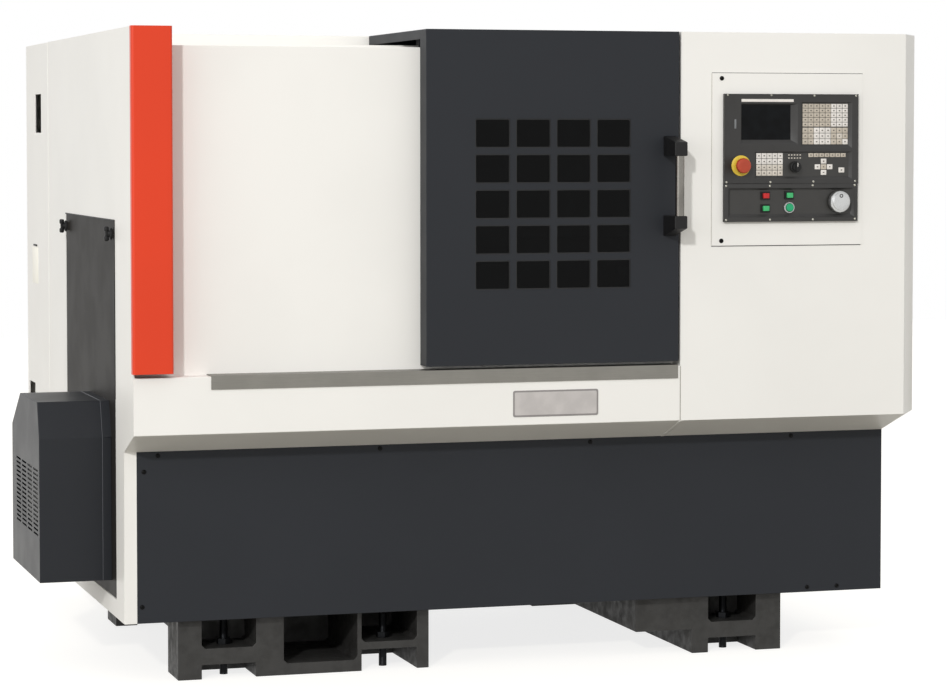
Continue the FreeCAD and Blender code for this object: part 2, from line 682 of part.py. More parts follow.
def coolant_tank():
    """The open tank under the bed that takes chips and coolant, on the casting's two ribs."""
    def block(inset, top):
        return box(f"arch_left + 13 + {inset}", f"arch_right - 14 - {inset}", f"200 + {inset}",
                   f"1320 - {inset}", f"tank_floor + {inset}", top)
    subpart("coolant_tank", cut(block("0", 400), block("sheet", 401)))


# ---------------------------------------------------------------- electrical cabinet

HINGES = (480, 1500)
HINGE_LENGTH = 50
SIDE_OPENINGS = [(1621, 1560), (1781, 604)]
SIDE_RECESS = (1700, 1060)
GLAND = (1700, 300)
SWITCH_X, SWITCH_Z = 250, 1420
LOCK = (30, 52, 930, 1070)


def electrical_cabinet():
    """The cabinet behind the machine, open at the rear, with square openings on the left."""
    right = "electrics_length"
    outside = box(0, right, "rear_seam", "electrics_back", "kick_bottom", "body_height")
    inside = box("sheet", f"{right} - sheet", "rear_seam + sheet", "electrics_back + 1",
                 "kick_bottom + sheet", "body_height - sheet")
    squares = [box(-1, "sheet + 1", y, f"{y} + window_size", z, f"{z} + window_size")
               for y, z in SIDE_OPENINGS]
    y, z = SIDE_RECESS
    squares.append(box(-1, 1, y, f"{y} + window_size", z, f"{z} + window_size"))
    gland = fuse(sided(6, "x", (right, f"{right} + 12"), GLAND, 20),
                 sided(6, "x", (f"{right} + 12", f"{right} + 35"), GLAND, 16))
    inlet = rod("x", (f"{right} - 5", f"{right} + 36"), GLAND, 9)
    hinges = []
    for low in HINGES:
        for z in (low - 12.5, low + HINGE_LENGTH + 0.5):
            hinges.append(box(right, "hinge_x + 4", "electrics_back - 30", "hinge_y + 4", z, z + 12))
        hinges.append(sided(8, "z", (low - 6, low + HINGE_LENGTH + 6), ("hinge_x", "hinge_y"), 3))
    shell = cut(outside, inside, *squares)
    subpart("electrical_cabinet", cut(fuse(shell, gland, *hinges), inlet))


def cabinet_door():
    """The hinged rear door, a shallow tray with a knuckle at each hinge, a handle and a switch plate."""
    tray = box(5, "electrics_length - 5", "electrics_back + 0.5", "body_depth",
               "kick_bottom + 5", "body_height - 5")
    hollow = box("5 + sheet", "electrics_length - 5 - sheet", "electrics_back", "body_depth - sheet",
                 "kick_bottom + 5 + sheet", "body_height - 5 - sheet")
    added, removed = [], []
    for low in HINGES:
        high = low + HINGE_LENGTH
        added.append(box("electrics_length - 6", "hinge_x + 6", "hinge_y - 6", "hinge_y + 6", low, high))
        removed.append(sided(8, "z", (low - 1, high + 1), ("hinge_x", "hinge_y"), 3.3))
    added.append(box(LOCK[0], LOCK[1], "body_depth", "body_depth + 12", LOCK[2], LOCK[3]))
    added.append(box(SWITCH_X - 32, SWITCH_X + 32, "body_depth", "body_depth + 2",
                     SWITCH_Z - 32, SWITCH_Z + 32))
    removed.append(box(SWITCH_X - 8, SWITCH_X + 8, "body_depth - 4", "body_depth + 3",
                       SWITCH_Z - 8, SWITCH_Z + 8))
    subpart("cabinet_door", cut(fuse(cut(tray, hollow), *added), *removed))


def main_switch():
    """The rotary main switch on the cabinet door: sided base, bar grip and square shaft."""
    disc = sided(12, "y", ("body_depth + 2.5", "body_depth + 14"), (SWITCH_X, SWITCH_Z), 28)
    grip = box(SWITCH_X - 8, SWITCH_X + 8, "body_depth + 13", "body_depth + switch_reach",
               SWITCH_Z - 26, SWITCH_Z + 26)
    shaft = box(SWITCH_X - 5, SWITCH_X + 5, "electrics_back + 1", "body_depth + 3",
                SWITCH_Z - 5, SWITCH_Z + 5)
    subpart("main_switch", fuse(disc, grip, shaft))


RACK_DEVICES = [  # count, pitch, left, right, depth, bottom, top
    (3, 150, 120, 230, 190, 1180, 1560),  # servo drives
    (6, 60, 620, 665, 80, 1380, 1480),  # circuit breakers
    (4, 90, 620, 690, 90, 1120, 1210),  # contactors
    (1, 0, 150, 420, 200, 330, 620),  # transformer
    (1, 0, 520, 980, 50, 420, 470),  # terminal strip
]


def drive_rack():
    """The mounting plate inside the cabinet and the devices on it."""
    back = "rear_seam + sheet"
    face = f"{back} + 4"
    devices = [box(left + pitch * i, right + pitch * i, face, f"{back} + {depth}", bottom, top)
               for count, pitch, left, right, depth, bottom, top in RACK_DEVICES for i in range(count)]
    subpart("drive_rack", fuse(box(60, 1040, back, face, 260, 1780), *devices))


# ---------------------------------------------------------------- door

def door_panel():
    """The door's pierced face with its folded edges."""
    face = "-door_proud"
    body = doc.addObject("PartDesign::Body", "door_face")
    xz = next(f for f in body.Origin.OriginFeatures if f.Role == "XZ_Plane")

    def on_face(corners):
        """A sketch on the door's face plane."""
        drawn = outline(corners)
        body.addObject(drawn)
        drawn.AttachmentSupport = [(xz, "")]
        drawn.MapMode = "FlatFace"
        return drawn

    plate = body.newObject("PartDesign::Pad", "face_plate")
    plate.Profile = on_face([
        ("door_left", "door_bottom"), ("door_right", "door_bottom"),
        ("door_right", "body_height"), ("door_left", "body_height")])
    plate.Reversed = True
    bind(plate, Length="sheet")
    right = "window_left + pane_width"
    top = "window_bottom + pane_height"
    pane_sketch = on_face([
        ("window_left + pane_corner", "window_bottom"), (f"{right} - pane_corner", "window_bottom"),
        (right, "window_bottom + pane_corner"), (right, f"{top} - pane_corner"),
        (f"{right} - pane_corner", top), ("window_left + pane_corner", top),
        ("window_left", f"{top} - pane_corner"), ("window_left", "window_bottom + pane_corner")])
    pane = body.newObject("PartDesign::Pocket", "pane")
    pane.Profile = pane_sketch
    pane.Type = "ThroughAll"
    pane.Midplane = True
    panes = body.newObject("PartDesign::LinearPattern", "panes")
    panes.Originals = [pane]
    panes.Direction = (pane_sketch, ["H_Axis"])
    panes.Direction2 = (pane_sketch, ["V_Axis"])
    bind(panes, Length="3 * pane_pitch", Length2="4 * pane_rise")
    panes.Occurrences = 4
    panes.Occurrences2 = 5
    body.Tip = panes
    bind(body, base_y=face)
    left, right_side = "door_left", "door_right"
    below_tray = "body_height - door_flange"
    folds = [
        box(left, f"{left} + sheet", face, "door_return", "door_bottom", below_tray),
        box(f"{right_side} - sheet", right_side, face, "door_return", "door_bottom", below_tray),
        box(left, right_side, face, "40", "door_bottom", "door_bottom + sheet"),
    ]
    subpart("door_panel", fuse(body, *folds))


def door_tray():
    """The tray that closes the door's top as far back as the rear roof, with its two hanger shoes."""
    left, right = "door_left", "door_right"
    front, back = "sheet - door_proud", "housing_front - 5"
    rim = "body_height - door_flange"
    folds = [
        box(left, right, front, back, "body_height - sheet", "body_height"),
        box(left, right, f"{back} - sheet", back, rim, "body_height"),
        box(left, f"{left} + sheet", front, back, rim, "body_height"),
        box(f"{right} - sheet", right, front, back, rim, "body_height"),
    ]
    for x in (900, 1480):
        shoe = box(x, x + 60, 284, 316, "front_roof + 3", "body_height - sheet + 1")
        gap = box(x - 1, x + 61, 293, 307, "front_roof + 2", "front_roof + 15")
        folds.append(cut(shoe, gap))
    subpart("door_tray", fuse(*folds))


def door_guide():
    """The guide bar on the lower roof that the door hangs from."""
    subpart("door_guide", box("post_right", "cabinet_left", 294, 306, "front_roof", "front_roof + 12"))


def door_window():
    """The clear sheet fixed behind the door's panes."""
    back = "sheet - door_proud"
    subpart("door_window", box("window_left - 14", "window_left + 3 * pane_pitch + pane_width + 14",
                               back, f"{back} + 6", "window_bottom - 14",
                               "window_bottom + 4 * pane_rise + pane_height + 14"))


def door_handle():
    """Two moulded brackets and the round steel bar between them."""
    x = ("handle_x - handle_width / 2", "handle_x + handle_width / 2")
    front, back = "-handle_reach", "-door_proud"
    upper = prism("x", x, [(back, "bar_high"), (back, "handle_high"),
                           (front, "bar_high + 40"), (front, "bar_high")])
    lower = prism("x", x, [(back, "bar_low"), (back, "handle_low"),
                           (front, "bar_low - 36"), (front, "bar_low")])
    subpart("handle_brackets", upper, lower)
    subpart("handle_bar", rod("z", ("bar_low", "bar_high"), ("handle_x", "-handle_reach + bar_radius"),
                              "bar_radius"))


# ---------------------------------------------------------------- drive line

def headstock():
    """The headstock casting on the left of the bed, bored for the spindle bearings."""
    rise = "foot_z - foot_y"
    block = prism("x", ("bed_body + 10", "headstock_right"), [
        ("590", f"590 + {rise}"), ("530", "720"), ("530", "1190"), ("590", "1250"),
        ("830", "1250"), ("1060", f"1060 + {rise}")])
    bore = rod("x", ("bed_body", "headstock_right + 10"), ("spindle_y", "spindle_z"), "bearing_radius")
    subpart("headstock", cut(block, bore))


def spindle_bearings():
    """The spindle's bearing cartridge, one sleeve whose flats touch the journal as its rollers do."""
    left, right = "bed_body + 14", "headstock_right - 4"
    sleeve = sided(24, "x", (left, right), ("0", "0"), "bearing_radius")
    bore = flats(24, "x", (f"{left} - 1", f"{right} + 1"), ("0", "0"), "journal + running_gap")
    subpart("spindle_bearings", cut(sleeve, bore), at=SPINDLE)


def spindle():
    """The hollow spindle, turned with its journals and the chuck flange."""
    subpart("spindle", turned([
        ("spindle_rear", "bar_bore"), ("spindle_rear", "journal"), ("nose_face - 38", "journal"),
        ("nose_face - 38", "nose_radius"),
        ("nose_face", "nose_radius"), ("nose_face", "bar_bore")]), at=SPINDLE)


JAW_ANGLES = (0, 120, 240)


def chuck():
    """The three-jaw chuck body with its T-slots."""
    face = "nose_face + chuck_length"
    blank = turned([("nose_face", "30"), ("nose_face", "chuck_radius"),
                    (face, "chuck_radius"), (face, "30")])
    slots = []
    for angle in JAW_ANGLES:
        slots.append(radial(f"{face} - 22", f"{face} + 1", "jaw_width + 1", 29, 135, angle))
        slots.append(radial(f"{face} - 22", f"{face} - 13", "jaw_width + 15", 29, 135, angle))
    subpart("chuck", cut(blank, *slots), at=SPINDLE)


def chuck_jaws():
    """Three stepped jaws, each with a T-shaped root in its slot."""
    face = "nose_face + chuck_length"
    for number, angle in enumerate(JAW_ANGLES, start=1):
        root = radial(f"{face} - 21.5", f"{face} - 13.5", "jaw_width + 14", 52, 112, angle)
        neck = radial(f"{face} - 14", f"{face} + 16", "jaw_width", 52, 112, angle)
        step = radial(f"{face} + 15", f"{face} + 40", "jaw_width", 64, 100, angle)
        subpart(f"chuck_jaw_{number}", fuse(root, neck, step), at=SPINDLE)


def pulleys():
    """The pulley on the spindle's tail, and the motor's pulley with its shaft."""
    left, right = "belt_left - 7", "belt_left + belt_width + 7"
    wheel = sided(32, "x", (left, right), ("0", "0"), "driven_radius")
    bore = flats(12, "x", (f"{left} - 1", f"{right} + 1"), ("0", "0"), "journal")
    subpart("spindle_pulley", cut(wheel, bore), at=SPINDLE)
    drum = sided(24, "x", (left, right), ("0", "0"), "driver_radius")
    shaft = rod("x", ("shaft_left", right), ("0", "0"), "shaft_radius")
    subpart("motor_pulley", fuse(drum, shaft), at=MOTOR)


def drive_belt():
    """The belt: the band between two loops, each of two arcs and their common tangents."""
    def loop(gap):
        centres = [Vector(SIZE[f"{name}_y"], SIZE[f"{name}_z"], 0) for name in ("spindle", "motor")]
        radii = [SIZE["driven_radius"] + gap, SIZE["driver_radius"] + gap]
        line = centres[1] - centres[0]
        heading = math.atan2(line.y, line.x)
        spread = math.acos((radii[0] - radii[1]) / line.Length)
        ends = []
        for side in (1, -1):
            way = Vector(math.cos(heading + side * spread), math.sin(heading + side * spread), 0)
            ends.append([centres[0] + way * radii[0], centres[1] + way * radii[1]])
        along = line / line.Length
        far = [centres[0] - along * radii[0], centres[1] + along * radii[1]]
        edges = [Part.Arc(ends[0][0], far[0], ends[1][0]), Part.LineSegment(ends[1][0], ends[1][1]),
                 Part.Arc(ends[1][1], far[1], ends[0][1]), Part.LineSegment(ends[0][1], ends[0][0])]
        return Part.Face(Part.Wire([edge.toShape() for edge in edges]))
    band = loop(SIZE["belt_gap"] + SIZE["belt_thick"]).cut(loop(SIZE["belt_gap"]))
    solid = band.extrude(Vector(0, 0, SIZE["belt_width"]))
    solid.Placement = FreeCAD.Placement(Vector(SIZE["belt_left"], 0, 0), TO_X)
    belt = doc.addObject("Part::Feature", "belt_band")
    belt.Shape = solid
    subpart("drive_belt", belt)


def spindle_motor():
    """The spindle motor: body of eight sides, end shields, flange and terminal box."""
    stack = sided(8, "x", (-150, 80), ("0", "0"), "motor_radius")
    shield = sided(8, "x", (-186, -149), ("0", "0"), "motor_radius - 8")
    flange = sided(8, "x", (79, 105), ("0", "0"), "motor_radius + 6")
    terminal_box = box(-60, 60, -60, 60, "motor_radius - 20", "motor_radius + 50")
    hole = flats(12, "x", ("shaft_left - 10", 110), ("0", "0"), "shaft_radius + running_gap")
    subpart("spindle_motor", cut(fuse(stack, shield, flange, terminal_box), hole), at=MOTOR)


def motor_bracket():
    """The bracket that carries the motor from the bed's left end."""
    plate = box(105, 120, 480, 800, 330, 690)
    arms = [box(105, "bed_body", y, y + 30, 330, 690) for y in (480, 770)]
    hole = box(104, 121, "motor_y - 60", "motor_y + 60", "motor_z - 60", "motor_z + 60")
    subpart("motor_bracket", cut(fuse(plate, *arms), hole))


# ---------------------------------------------------------------- on the sloping bed

def guide_rails():
    """The two profiled rails that the saddle and the tailstock run on."""
    rails = []
    for middle in ("guide_low", "guide_high"):
        profile = [(17, 0), (17, 8), (11, 12), (11, 18), (17, 22), (17, "guide_height")]
        right = [(f"{middle} + {u}", n) for u, n in profile]
        left = [(f"{middle} - {u}", n) for u, n in reversed(profile)]
        rails.append(prism("x", ("guide_left", "guide_right"), right + left))
    subpart("guide_rails", *rails, at=BED, sloping=True)


def shoes(x0, x1):
    """The pairs of shoes that straddle both rails, from near the bed up to a slide's base."""
    blocks = []
    for middle in ("guide_low", "guide_high"):
        blocks.append(box(x0, x1, f"{middle} - 45", f"{middle} - 20", 6, 37))
        blocks.append(box(x0, x1, f"{middle} + 20", f"{middle} + 45", 6, 37))
    return blocks


def saddle():
    """The lengthwise slide: base, rail shoes, ball nut, dovetail and the cross feed motor."""
    left, right = "saddle_left", "saddle_right"
    base = box(left, right, -200, 520, 36, "saddle_top")
    nut = box(f"{left} + 80", f"{left} + 170", -45, 45, -44, 37)
    middle = "(saddle_left + saddle_right) / 2"
    dovetail = prism("y", (-200, 520), [
        (f"{middle} - 65", "saddle_top - 1"), (f"{middle} + 65", "saddle_top - 1"),
        (f"{middle} + 65", "saddle_top"), (f"{middle} + 85", "saddle_top + 25"),
        (f"{middle} - 85", "saddle_top + 25"), (f"{middle} - 65", "saddle_top")])
    motor = [box(f"{middle} - 55", f"{middle} + 55", 519, 540, 30, 138),
             box(f"{middle} - 45", f"{middle} + 45", 539, 680, 38, 130)]
    hole = rod("x", (f"{left} + 70", f"{left} + 180"), (0, "ball_screw_n"), "ball_screw + 0.6")
    whole = fuse(base, nut, dovetail, *motor, *shoes(left, right))
    subpart("saddle", cut(whole, hole), at=BED, sloping=True)


def cross_slide():
    """The cross slide on the saddle's dovetail, with the turret's indexing head."""
    middle = "(saddle_left + saddle_right) / 2"
    block = box(f"{middle} - 115", f"{middle} + 115", -40, 440, "saddle_top + 1", 152)
    groove = prism("y", (-41, 441), [
        (f"{middle} - 66", "saddle_top"), (f"{middle} + 66", "saddle_top"),
        (f"{middle} + 87", "saddle_top + 26.2"), (f"{middle} - 87", "saddle_top + 26.2")])
    head = prism("y", ("turret_u - 135", "turret_u + 135"), [
        ("turret_face + turret_thick + 12", "151"), ("saddle_right - 25", "151"),
        ("saddle_right - 25", "340"), ("saddle_right - 55", "370"),
        ("turret_face + turret_thick + 12", "370")])
    boss = sided(8, "x", ("turret_face + turret_thick + 1", "turret_face + turret_thick + 13"),
                 ("turret_u", "centre_height"), 90)
    subpart("cross_slide", fuse(cut(block, groove), head, boss), at=BED, sloping=True)


STATIONS = 8


def turret_disc():
    """The eight-station disc: four sockets for boring bars and four clamped turning tools."""
    blank = sided(STATIONS, "x", ("turret_face", "turret_face + turret_thick"), ("0", "0"),
                  f"turret_radius / cos(180 / {STATIONS})")
    disc = turn_about_x(blank, 180 / STATIONS)
    pieces, holes = [disc], []
    for number in range(4):
        angle = 90 * number
        tip = "tool_reach - 10"
        holder = radial("turret_face - 6", "turret_face + 46", 64, "turret_radius - 14",
                        "turret_radius + 26", angle)
        shank = radial("turret_face + 4", "turret_face + 29", 25, "turret_radius + 20", tip, angle)
        point = prism("x", ("turret_face + 4", "turret_face + 29"), [
            ("-12.5", f"{tip} - 1"), ("12.5", f"{tip} - 1"),
            ("-4", "tool_reach"), ("-12.5", "tool_reach")])
        pieces += [holder, shank, turn_about_x(point, angle)]
        collar = box("turret_face - 22", "turret_face + 1", "-socket_radius - 14", "socket_radius + 14",
                     "socket_circle - socket_radius - 14", "socket_circle + socket_radius + 14")
        socket = rod("x", ("turret_face - 23", "turret_face + turret_thick + 1"), ("0", "socket_circle"),
                     "socket_radius")
        pieces.append(turn_about_x(collar, angle + 45))
        holes.append(turn_about_x(socket, angle + 45))
    hub = sided(STATIONS, "x", ("turret_face - 10", "turret_face + 1"), ("0", "0"), 55)
    subpart("turret_disc", cut(fuse(*pieces, hub), *holes), at=("0", TURRET_Y, TURRET_Z), sloping=True)


TURRET_Y = "foot_y + turret_u * cos(bed_angle) - centre_height * sin(bed_angle)"
TURRET_Z = "foot_z + turret_u * sin(bed_angle) + centre_height * cos(bed_angle)"


def ball_screw():
    """The lengthwise ball screw in the bed's trough."""
    screw = rod("x", ("guide_left - 50", "bed_right + 1"), (0, "ball_screw_n"), "ball_screw")
    subpart("ball_screw", screw, at=BED, sloping=True)


def feed_motor():
    """The lengthwise feed motor on the bed's right end."""
    flange = box("bed_right", "bed_right + 20", -55, 55, "ball_screw_n - 55", "ball_screw_n + 55")
    can = box("bed_right + 19", "bed_right + 150", -45, 45, "ball_screw_n - 45", "ball_screw_n + 45")
    seat = box("bed_right - 1", "bed_right + 6", -20, 20, "ball_screw_n - 20", "ball_screw_n + 20")
    subpart("feed_motor", cut(fuse(flange, can), seat), at=BED, sloping=True)


def tailstock():
    """The tailstock casting on the rails, bored for its quill."""
    left, right = "tail_left", "tail_right"
    base = box(left, right, -190, 232, 36, 96)
    column = prism("x", (left, right), [
        ("-150", "95"), ("150", "95"), ("78", "190"), ("78", "centre_height + 32"),
        ("32", "centre_height + 78"), ("-32", "centre_height + 78"), ("-78", "centre_height + 32"),
        ("-78", "190")])
    bore = rod("x", (f"{left} - 1", f"{right} + 1"), (0, "centre_height"), "quill_radius + running_gap")
    subpart("tailstock", cut(fuse(base, column, *shoes(left, right)), bore), at=BED, sloping=True)


CENTRE_PAIRS = 10  # pairs of flats round the centre's body and point


def quill_and_centre():
    """The sliding quill, and the live centre that turns in its bore: sided body, point and shank."""
    quill = cut(rod("x", ("tail_left - 40", "tail_right - 20"), ("0", "0"), "quill_radius"),
                rod("x", ("tail_left - 41", "tail_left + 30"), ("0", "0"), "taper_radius"))
    subpart("quill", quill, at=SPINDLE)
    back, front = "tail_left - 44", "tail_left - 72"
    form = prism("z", ("-centre_radius - 1", "centre_radius + 1"), [
        (f"{front} - centre_radius / tan(30)", "0"), (front, "centre_radius"), (back, "centre_radius"),
        (back, "-centre_radius"), (front, "-centre_radius")])
    point = doc.addObject("Part::MultiCommon", "point")
    point.Shapes = [turn_about_x(form, 180 * pair / CENTRE_PAIRS) for pair in range(CENTRE_PAIRS)]
    shank = rod("x", ("tail_left - 45", "tail_left + 26"), ("0", "0"), "taper_radius - running_gap")
    subpart("live_centre", fuse(point, shank), at=SPINDLE)


# ---------------------------------------------------------------- controls

SCREEN = (1793, 1949, 1536, 1638)  # left, right, bottom, top
KEY_FIELD = (1981, 2134, 1520, 1648)
LOWER_FRAME = (1752, 2139, 1313, 1395)
STOP_X, STOP_Z = 1789, 1462
KNOB_X, KNOB_Z = 1960, 1458
BUTTONS = {"start_button": (1943, 1339), "red_button": (1868, 1374),
           "green_button_upper": (1943, 1375), "green_button_lower": (1868, 1337)}
WHEEL_X, WHEEL_Z = 2097, 1356
FACE = "-unit_front"


def button_form(name, span, x, z, gap):
    """A button's cap or its hole: many-sided for the start button, square for the others."""
    if name == "start_button":
        return sided(24, "y", span, (x, z), 15 + gap)
    return box(x - 12 - gap, x + 12 + gap, span[0], span[1], z - 12 - gap, z + 12 + gap)


def control_plate():
    """The thin mounting plate round the control units."""
    plate = box("plate_left", "plate_right", "-sheet", 0, "plate_bottom", "plate_top")
    subpart("control_plate", cut(plate, box(*CUTOUT[:2], "-sheet - 1", 1, *CUTOUT[2:])))


def control_units():
    """The screen unit with its monitor, and the operator panel below it."""
    left, right, bottom, top = SCREEN
    back_left, back_right = f"{CUTOUT[0]} + 1", f"{CUTOUT[1]} - 1"
    bezel = box("unit_left", "unit_right", FACE, "-sheet", "unit_split + 0.5", "unit_top")
    back = box(back_left, back_right, "-sheet - 1", "unit_back", "unit_split + 1", f"{CUTOUT[3]} - 1")
    recess = box(left, right, f"{FACE} - 1", f"{FACE} + 4", bottom, top)
    keys = box(*KEY_FIELD[:2], f"{FACE} - 1", f"{FACE} + 1.5", *KEY_FIELD[2:])
    stem_hole = box(STOP_X - 9.5, STOP_X + 9.5, f"{FACE} - 1", f"{FACE} + 30", STOP_Z - 9.5, STOP_Z + 9.5)
    knob_hole = box(KNOB_X - 5, KNOB_X + 5, f"{FACE} - 1", f"{FACE} + 20", KNOB_Z - 5, KNOB_Z + 5)
    subpart("screen_unit", cut(fuse(bezel, back), recess, keys, stem_hole, knob_hole))
    subpart("screen", box(left, right, f"{FACE} + 2", f"{FACE} + 4", bottom, top))
    lower = box("unit_left", "unit_right", FACE, "-sheet", "unit_bottom", "unit_split")
    lower_back = box(back_left, back_right, "-sheet - 1", "unit_back", f"{CUTOUT[2]} + 1", "unit_split")
    frame = box(*LOWER_FRAME[:2], f"{FACE} - 1", f"{FACE} + 2", *LOWER_FRAME[2:])
    holes = []
    for name, (x, z) in BUTTONS.items():
        holes.append(button_form(name, (f"{FACE} - 1", f"{FACE} + 18"), x, z, 0.5))
    holes.append(box(WHEEL_X - 6, WHEEL_X + 6, f"{FACE} - 1", f"{FACE} + 20", WHEEL_Z - 6, WHEEL_Z + 6))
    subpart("operator_panel", cut(fuse(lower, lower_back), frame, *holes))


def stop_button():
    """The mushroom emergency stop."""
    head = sided(24, "y", (f"{FACE} - 30", f"{FACE} - 14"), (STOP_X, STOP_Z), 22)
    stem = box(STOP_X - 9, STOP_X + 9, f"{FACE} - 15", f"{FACE} + 20", STOP_Z - 9, STOP_Z + 9)
    subpart("stop_button", fuse(head, stem))


def push_buttons():
    """The illuminated start button and the three square buttons."""
    for name, (x, z) in BUTTONS.items():
        subpart(name, button_form(name, (f"{FACE} - 5", f"{FACE} + 12"), x, z, 0))


def override_knob():
    """The override knob: fluted skirt, smaller grip and square spindle."""
    skirt_disc = sided(12, "y", (f"{FACE} - 8", f"{FACE} - 0.5"), (KNOB_X, KNOB_Z), 17)
    grip = sided(12, "y", (f"{FACE} - 20", f"{FACE} - 7"), (KNOB_X, KNOB_Z), 13)
    stem = box(KNOB_X - 3, KNOB_X + 3, f"{FACE} - 1", f"{FACE} + 15", KNOB_Z - 3, KNOB_Z + 3)
    subpart("override_knob", fuse(skirt_disc, grip, stem))


def handwheel():
    """The electronic handwheel: ribbed rim, raised face and square spindle."""
    rim = sided(24, "y", (f"{FACE} - 18", f"{FACE} - 1"), (WHEEL_X, WHEEL_Z), 32)
    raised = sided(24, "y", (f"{FACE} - 26", f"{FACE} - 17"), (WHEEL_X, WHEEL_Z), 26)
    stem = box(WHEEL_X - 4, WHEEL_X + 4, f"{FACE} - 2", f"{FACE} + 15", WHEEL_Z - 4, WHEEL_Z + 4)
    subpart("handwheel", fuse(rim, raised, stem))


for build in (bed_casting, levelling_screws, left_end_cover, belt_access_panel, panel_latches,
              motor_hood, hood_collar, corner_post, front_canopy, rear_canopy, front_band, sill_rail,
              right_cabinet, kick_panel, panel_screws, chamber_liner, coolant_tank,
              electrical_cabinet, cabinet_door, main_switch, drive_rack, door_panel, door_tray,
              door_guide, door_window, door_handle, headstock, spindle_bearings, spindle, chuck,
              chuck_jaws, pulleys, drive_belt, spindle_motor, motor_bracket, guide_rails, saddle,
              cross_slide, turret_disc, ball_screw, feed_motor, tailstock, quill_and_centre,
              control_plate, control_units, stop_button, push_buttons, override_knob, handwheel):
    build()
doc.recompute()

for thing in doc.Objects:
    if "Invalid" in thing.State or "Error" in thing.State:
        raise RuntimeError(f"{thing.Label} did not build: {thing.State}")
for piece in subparts:
    shape = piece.Shape
    if shape.isNull() or not shape.isValid() or not shape.Solids:
        raise RuntimeError(f"{piece.Label} has no valid solid")
    shape.exportStep(f"parts/{piece.Label}.step")
    print(piece.Label, len(shape.Solids), "solid(s)", round(shape.Volume / 1000), "cm3")
print(len(subparts), "sub-parts")
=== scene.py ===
# %% [markdown]
# # A turning lathe, dressed for its picture
# The lathe is a cast slant bed inside a painted sheet-metal casing. The solids come from the CAD
# model, which is the fixed frame here. This lesson gives each of them the finish that its real
# surface has, and adds the pieces that are too small or too soft-edged for the solids.
# Every length is given in millimetres and turned to metres in one place.

# %%
import json
import math

import bmesh
import bpy
from mathutils import Matrix, Vector


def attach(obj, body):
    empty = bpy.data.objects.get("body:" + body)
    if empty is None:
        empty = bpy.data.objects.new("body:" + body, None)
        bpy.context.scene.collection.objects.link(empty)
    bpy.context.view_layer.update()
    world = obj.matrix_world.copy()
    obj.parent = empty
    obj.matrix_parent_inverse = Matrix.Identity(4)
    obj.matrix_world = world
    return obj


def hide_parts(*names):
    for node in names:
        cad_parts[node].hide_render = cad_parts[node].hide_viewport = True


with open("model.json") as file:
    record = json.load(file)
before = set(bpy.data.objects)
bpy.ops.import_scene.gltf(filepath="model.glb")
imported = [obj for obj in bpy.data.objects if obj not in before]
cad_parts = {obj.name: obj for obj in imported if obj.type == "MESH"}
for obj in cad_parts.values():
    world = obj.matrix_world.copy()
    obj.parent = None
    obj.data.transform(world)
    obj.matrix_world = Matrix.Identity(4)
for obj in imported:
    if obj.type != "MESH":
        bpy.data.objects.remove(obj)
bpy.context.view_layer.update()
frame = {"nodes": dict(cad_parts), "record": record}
nodes = frame["nodes"]

MM = 0.001
CORNER = Vector((1096.5, 949.5, 0.0))
FACE_Y = -15.0


def at(x, y, z):
    """A place in metres, from millimetres off the casing's front left corner on the floor."""
    return (Vector((x, y, z)) - CORNER) * MM


def shade(hexcode):
    """A colour written as on a screen, turned to the linear values that light is worked out in."""
    linear = []
    for start in (1, 3, 5):
        value = int(hexcode[start:start + 2], 16) / 255
        linear.append(value / 12.92 if value <= 0.04045 else ((value + 0.055) / 1.055) ** 2.4)
    return (*linear, 1.0)


def dimmed(colour, factor):
    """A linear colour, darker by a factor."""
    return (*(channel * factor for channel in colour[:3]), 1.0)


def placed(name, data):
    """A new object in the scene, at the origin, unturned and unscaled."""
    made = bpy.data.objects.new(name, data)
    bpy.context.scene.collection.objects.link(made)
    return made


print("solids in the frame:", len(nodes))

# %% [markdown]
# ## The camera
# The picture was taken from the machine's front left with a long lens, a little above the middle of
# the casing. The place and the lens were worked out from the vanishing points and the proportions
# of the casing. The picture's middle lies above the optical axis, so the lens is shifted down.

# %%
CAMERA_PLACE = (-2.5949, -9.0549, 1.5408)
TILT_DOWN, TURN_RIGHT = 2.713, 16.994
camera_data = bpy.data.cameras.new("studio_camera")
camera_data.lens = 113.41
camera_data.sensor_width = 36.0
camera_data.shift_y = -0.0734
camera_data.clip_end = 60.0
camera = placed("studio_camera", camera_data)
camera.location = CAMERA_PLACE
camera.rotation_euler = (math.radians(90 - TILT_DOWN), 0.0, math.radians(-TURN_RIGHT))
bpy.context.scene.camera = camera
bpy.context.scene.view_settings.view_transform = "Standard"
print("lens", camera_data.lens, "mm")

# %% [markdown]
# ## Building a finish from nodes
# Real surfaces vary at two scales: a fine grain that catches the light, and slow clouds where the
# coat is a little thicker or dirtier. Small helpers make both from noise in object coordinates, so
# the grain keeps its real size in millimetres wherever the piece sits.

# %%
def node(tree, kind, inputs=None, **settings):
    """Adds a node, sets its options, and gives each named socket a value or a link."""
    made = tree.nodes.new(kind)
    for name, value in settings.items():
        setattr(made, name, value)
    for name, value in (inputs or {}).items():
        if isinstance(value, bpy.types.NodeSocket):
            tree.links.new(value, made.inputs[name])
        else:
            made.inputs[name].default_value = value
    return made


def grain(tree, size, stretch=(1, 1, 1), detail=2.0, seed=0.0):
    """Noise whose lumps are about that many millimetres across, drawn out along an axis if asked."""
    where = node(tree, "ShaderNodeTexCoord")
    fitted = node(tree, "ShaderNodeMapping", {"Vector": where.outputs["Object"], "Scale": stretch,
                                              "Location": (seed, seed * 0.7, 0)})
    noise = node(tree, "ShaderNodeTexNoise", {"Vector": fitted.outputs["Vector"],
                                              "Scale": 1.0 / (size * MM), "Detail": detail})
    return noise.outputs["Fac"]


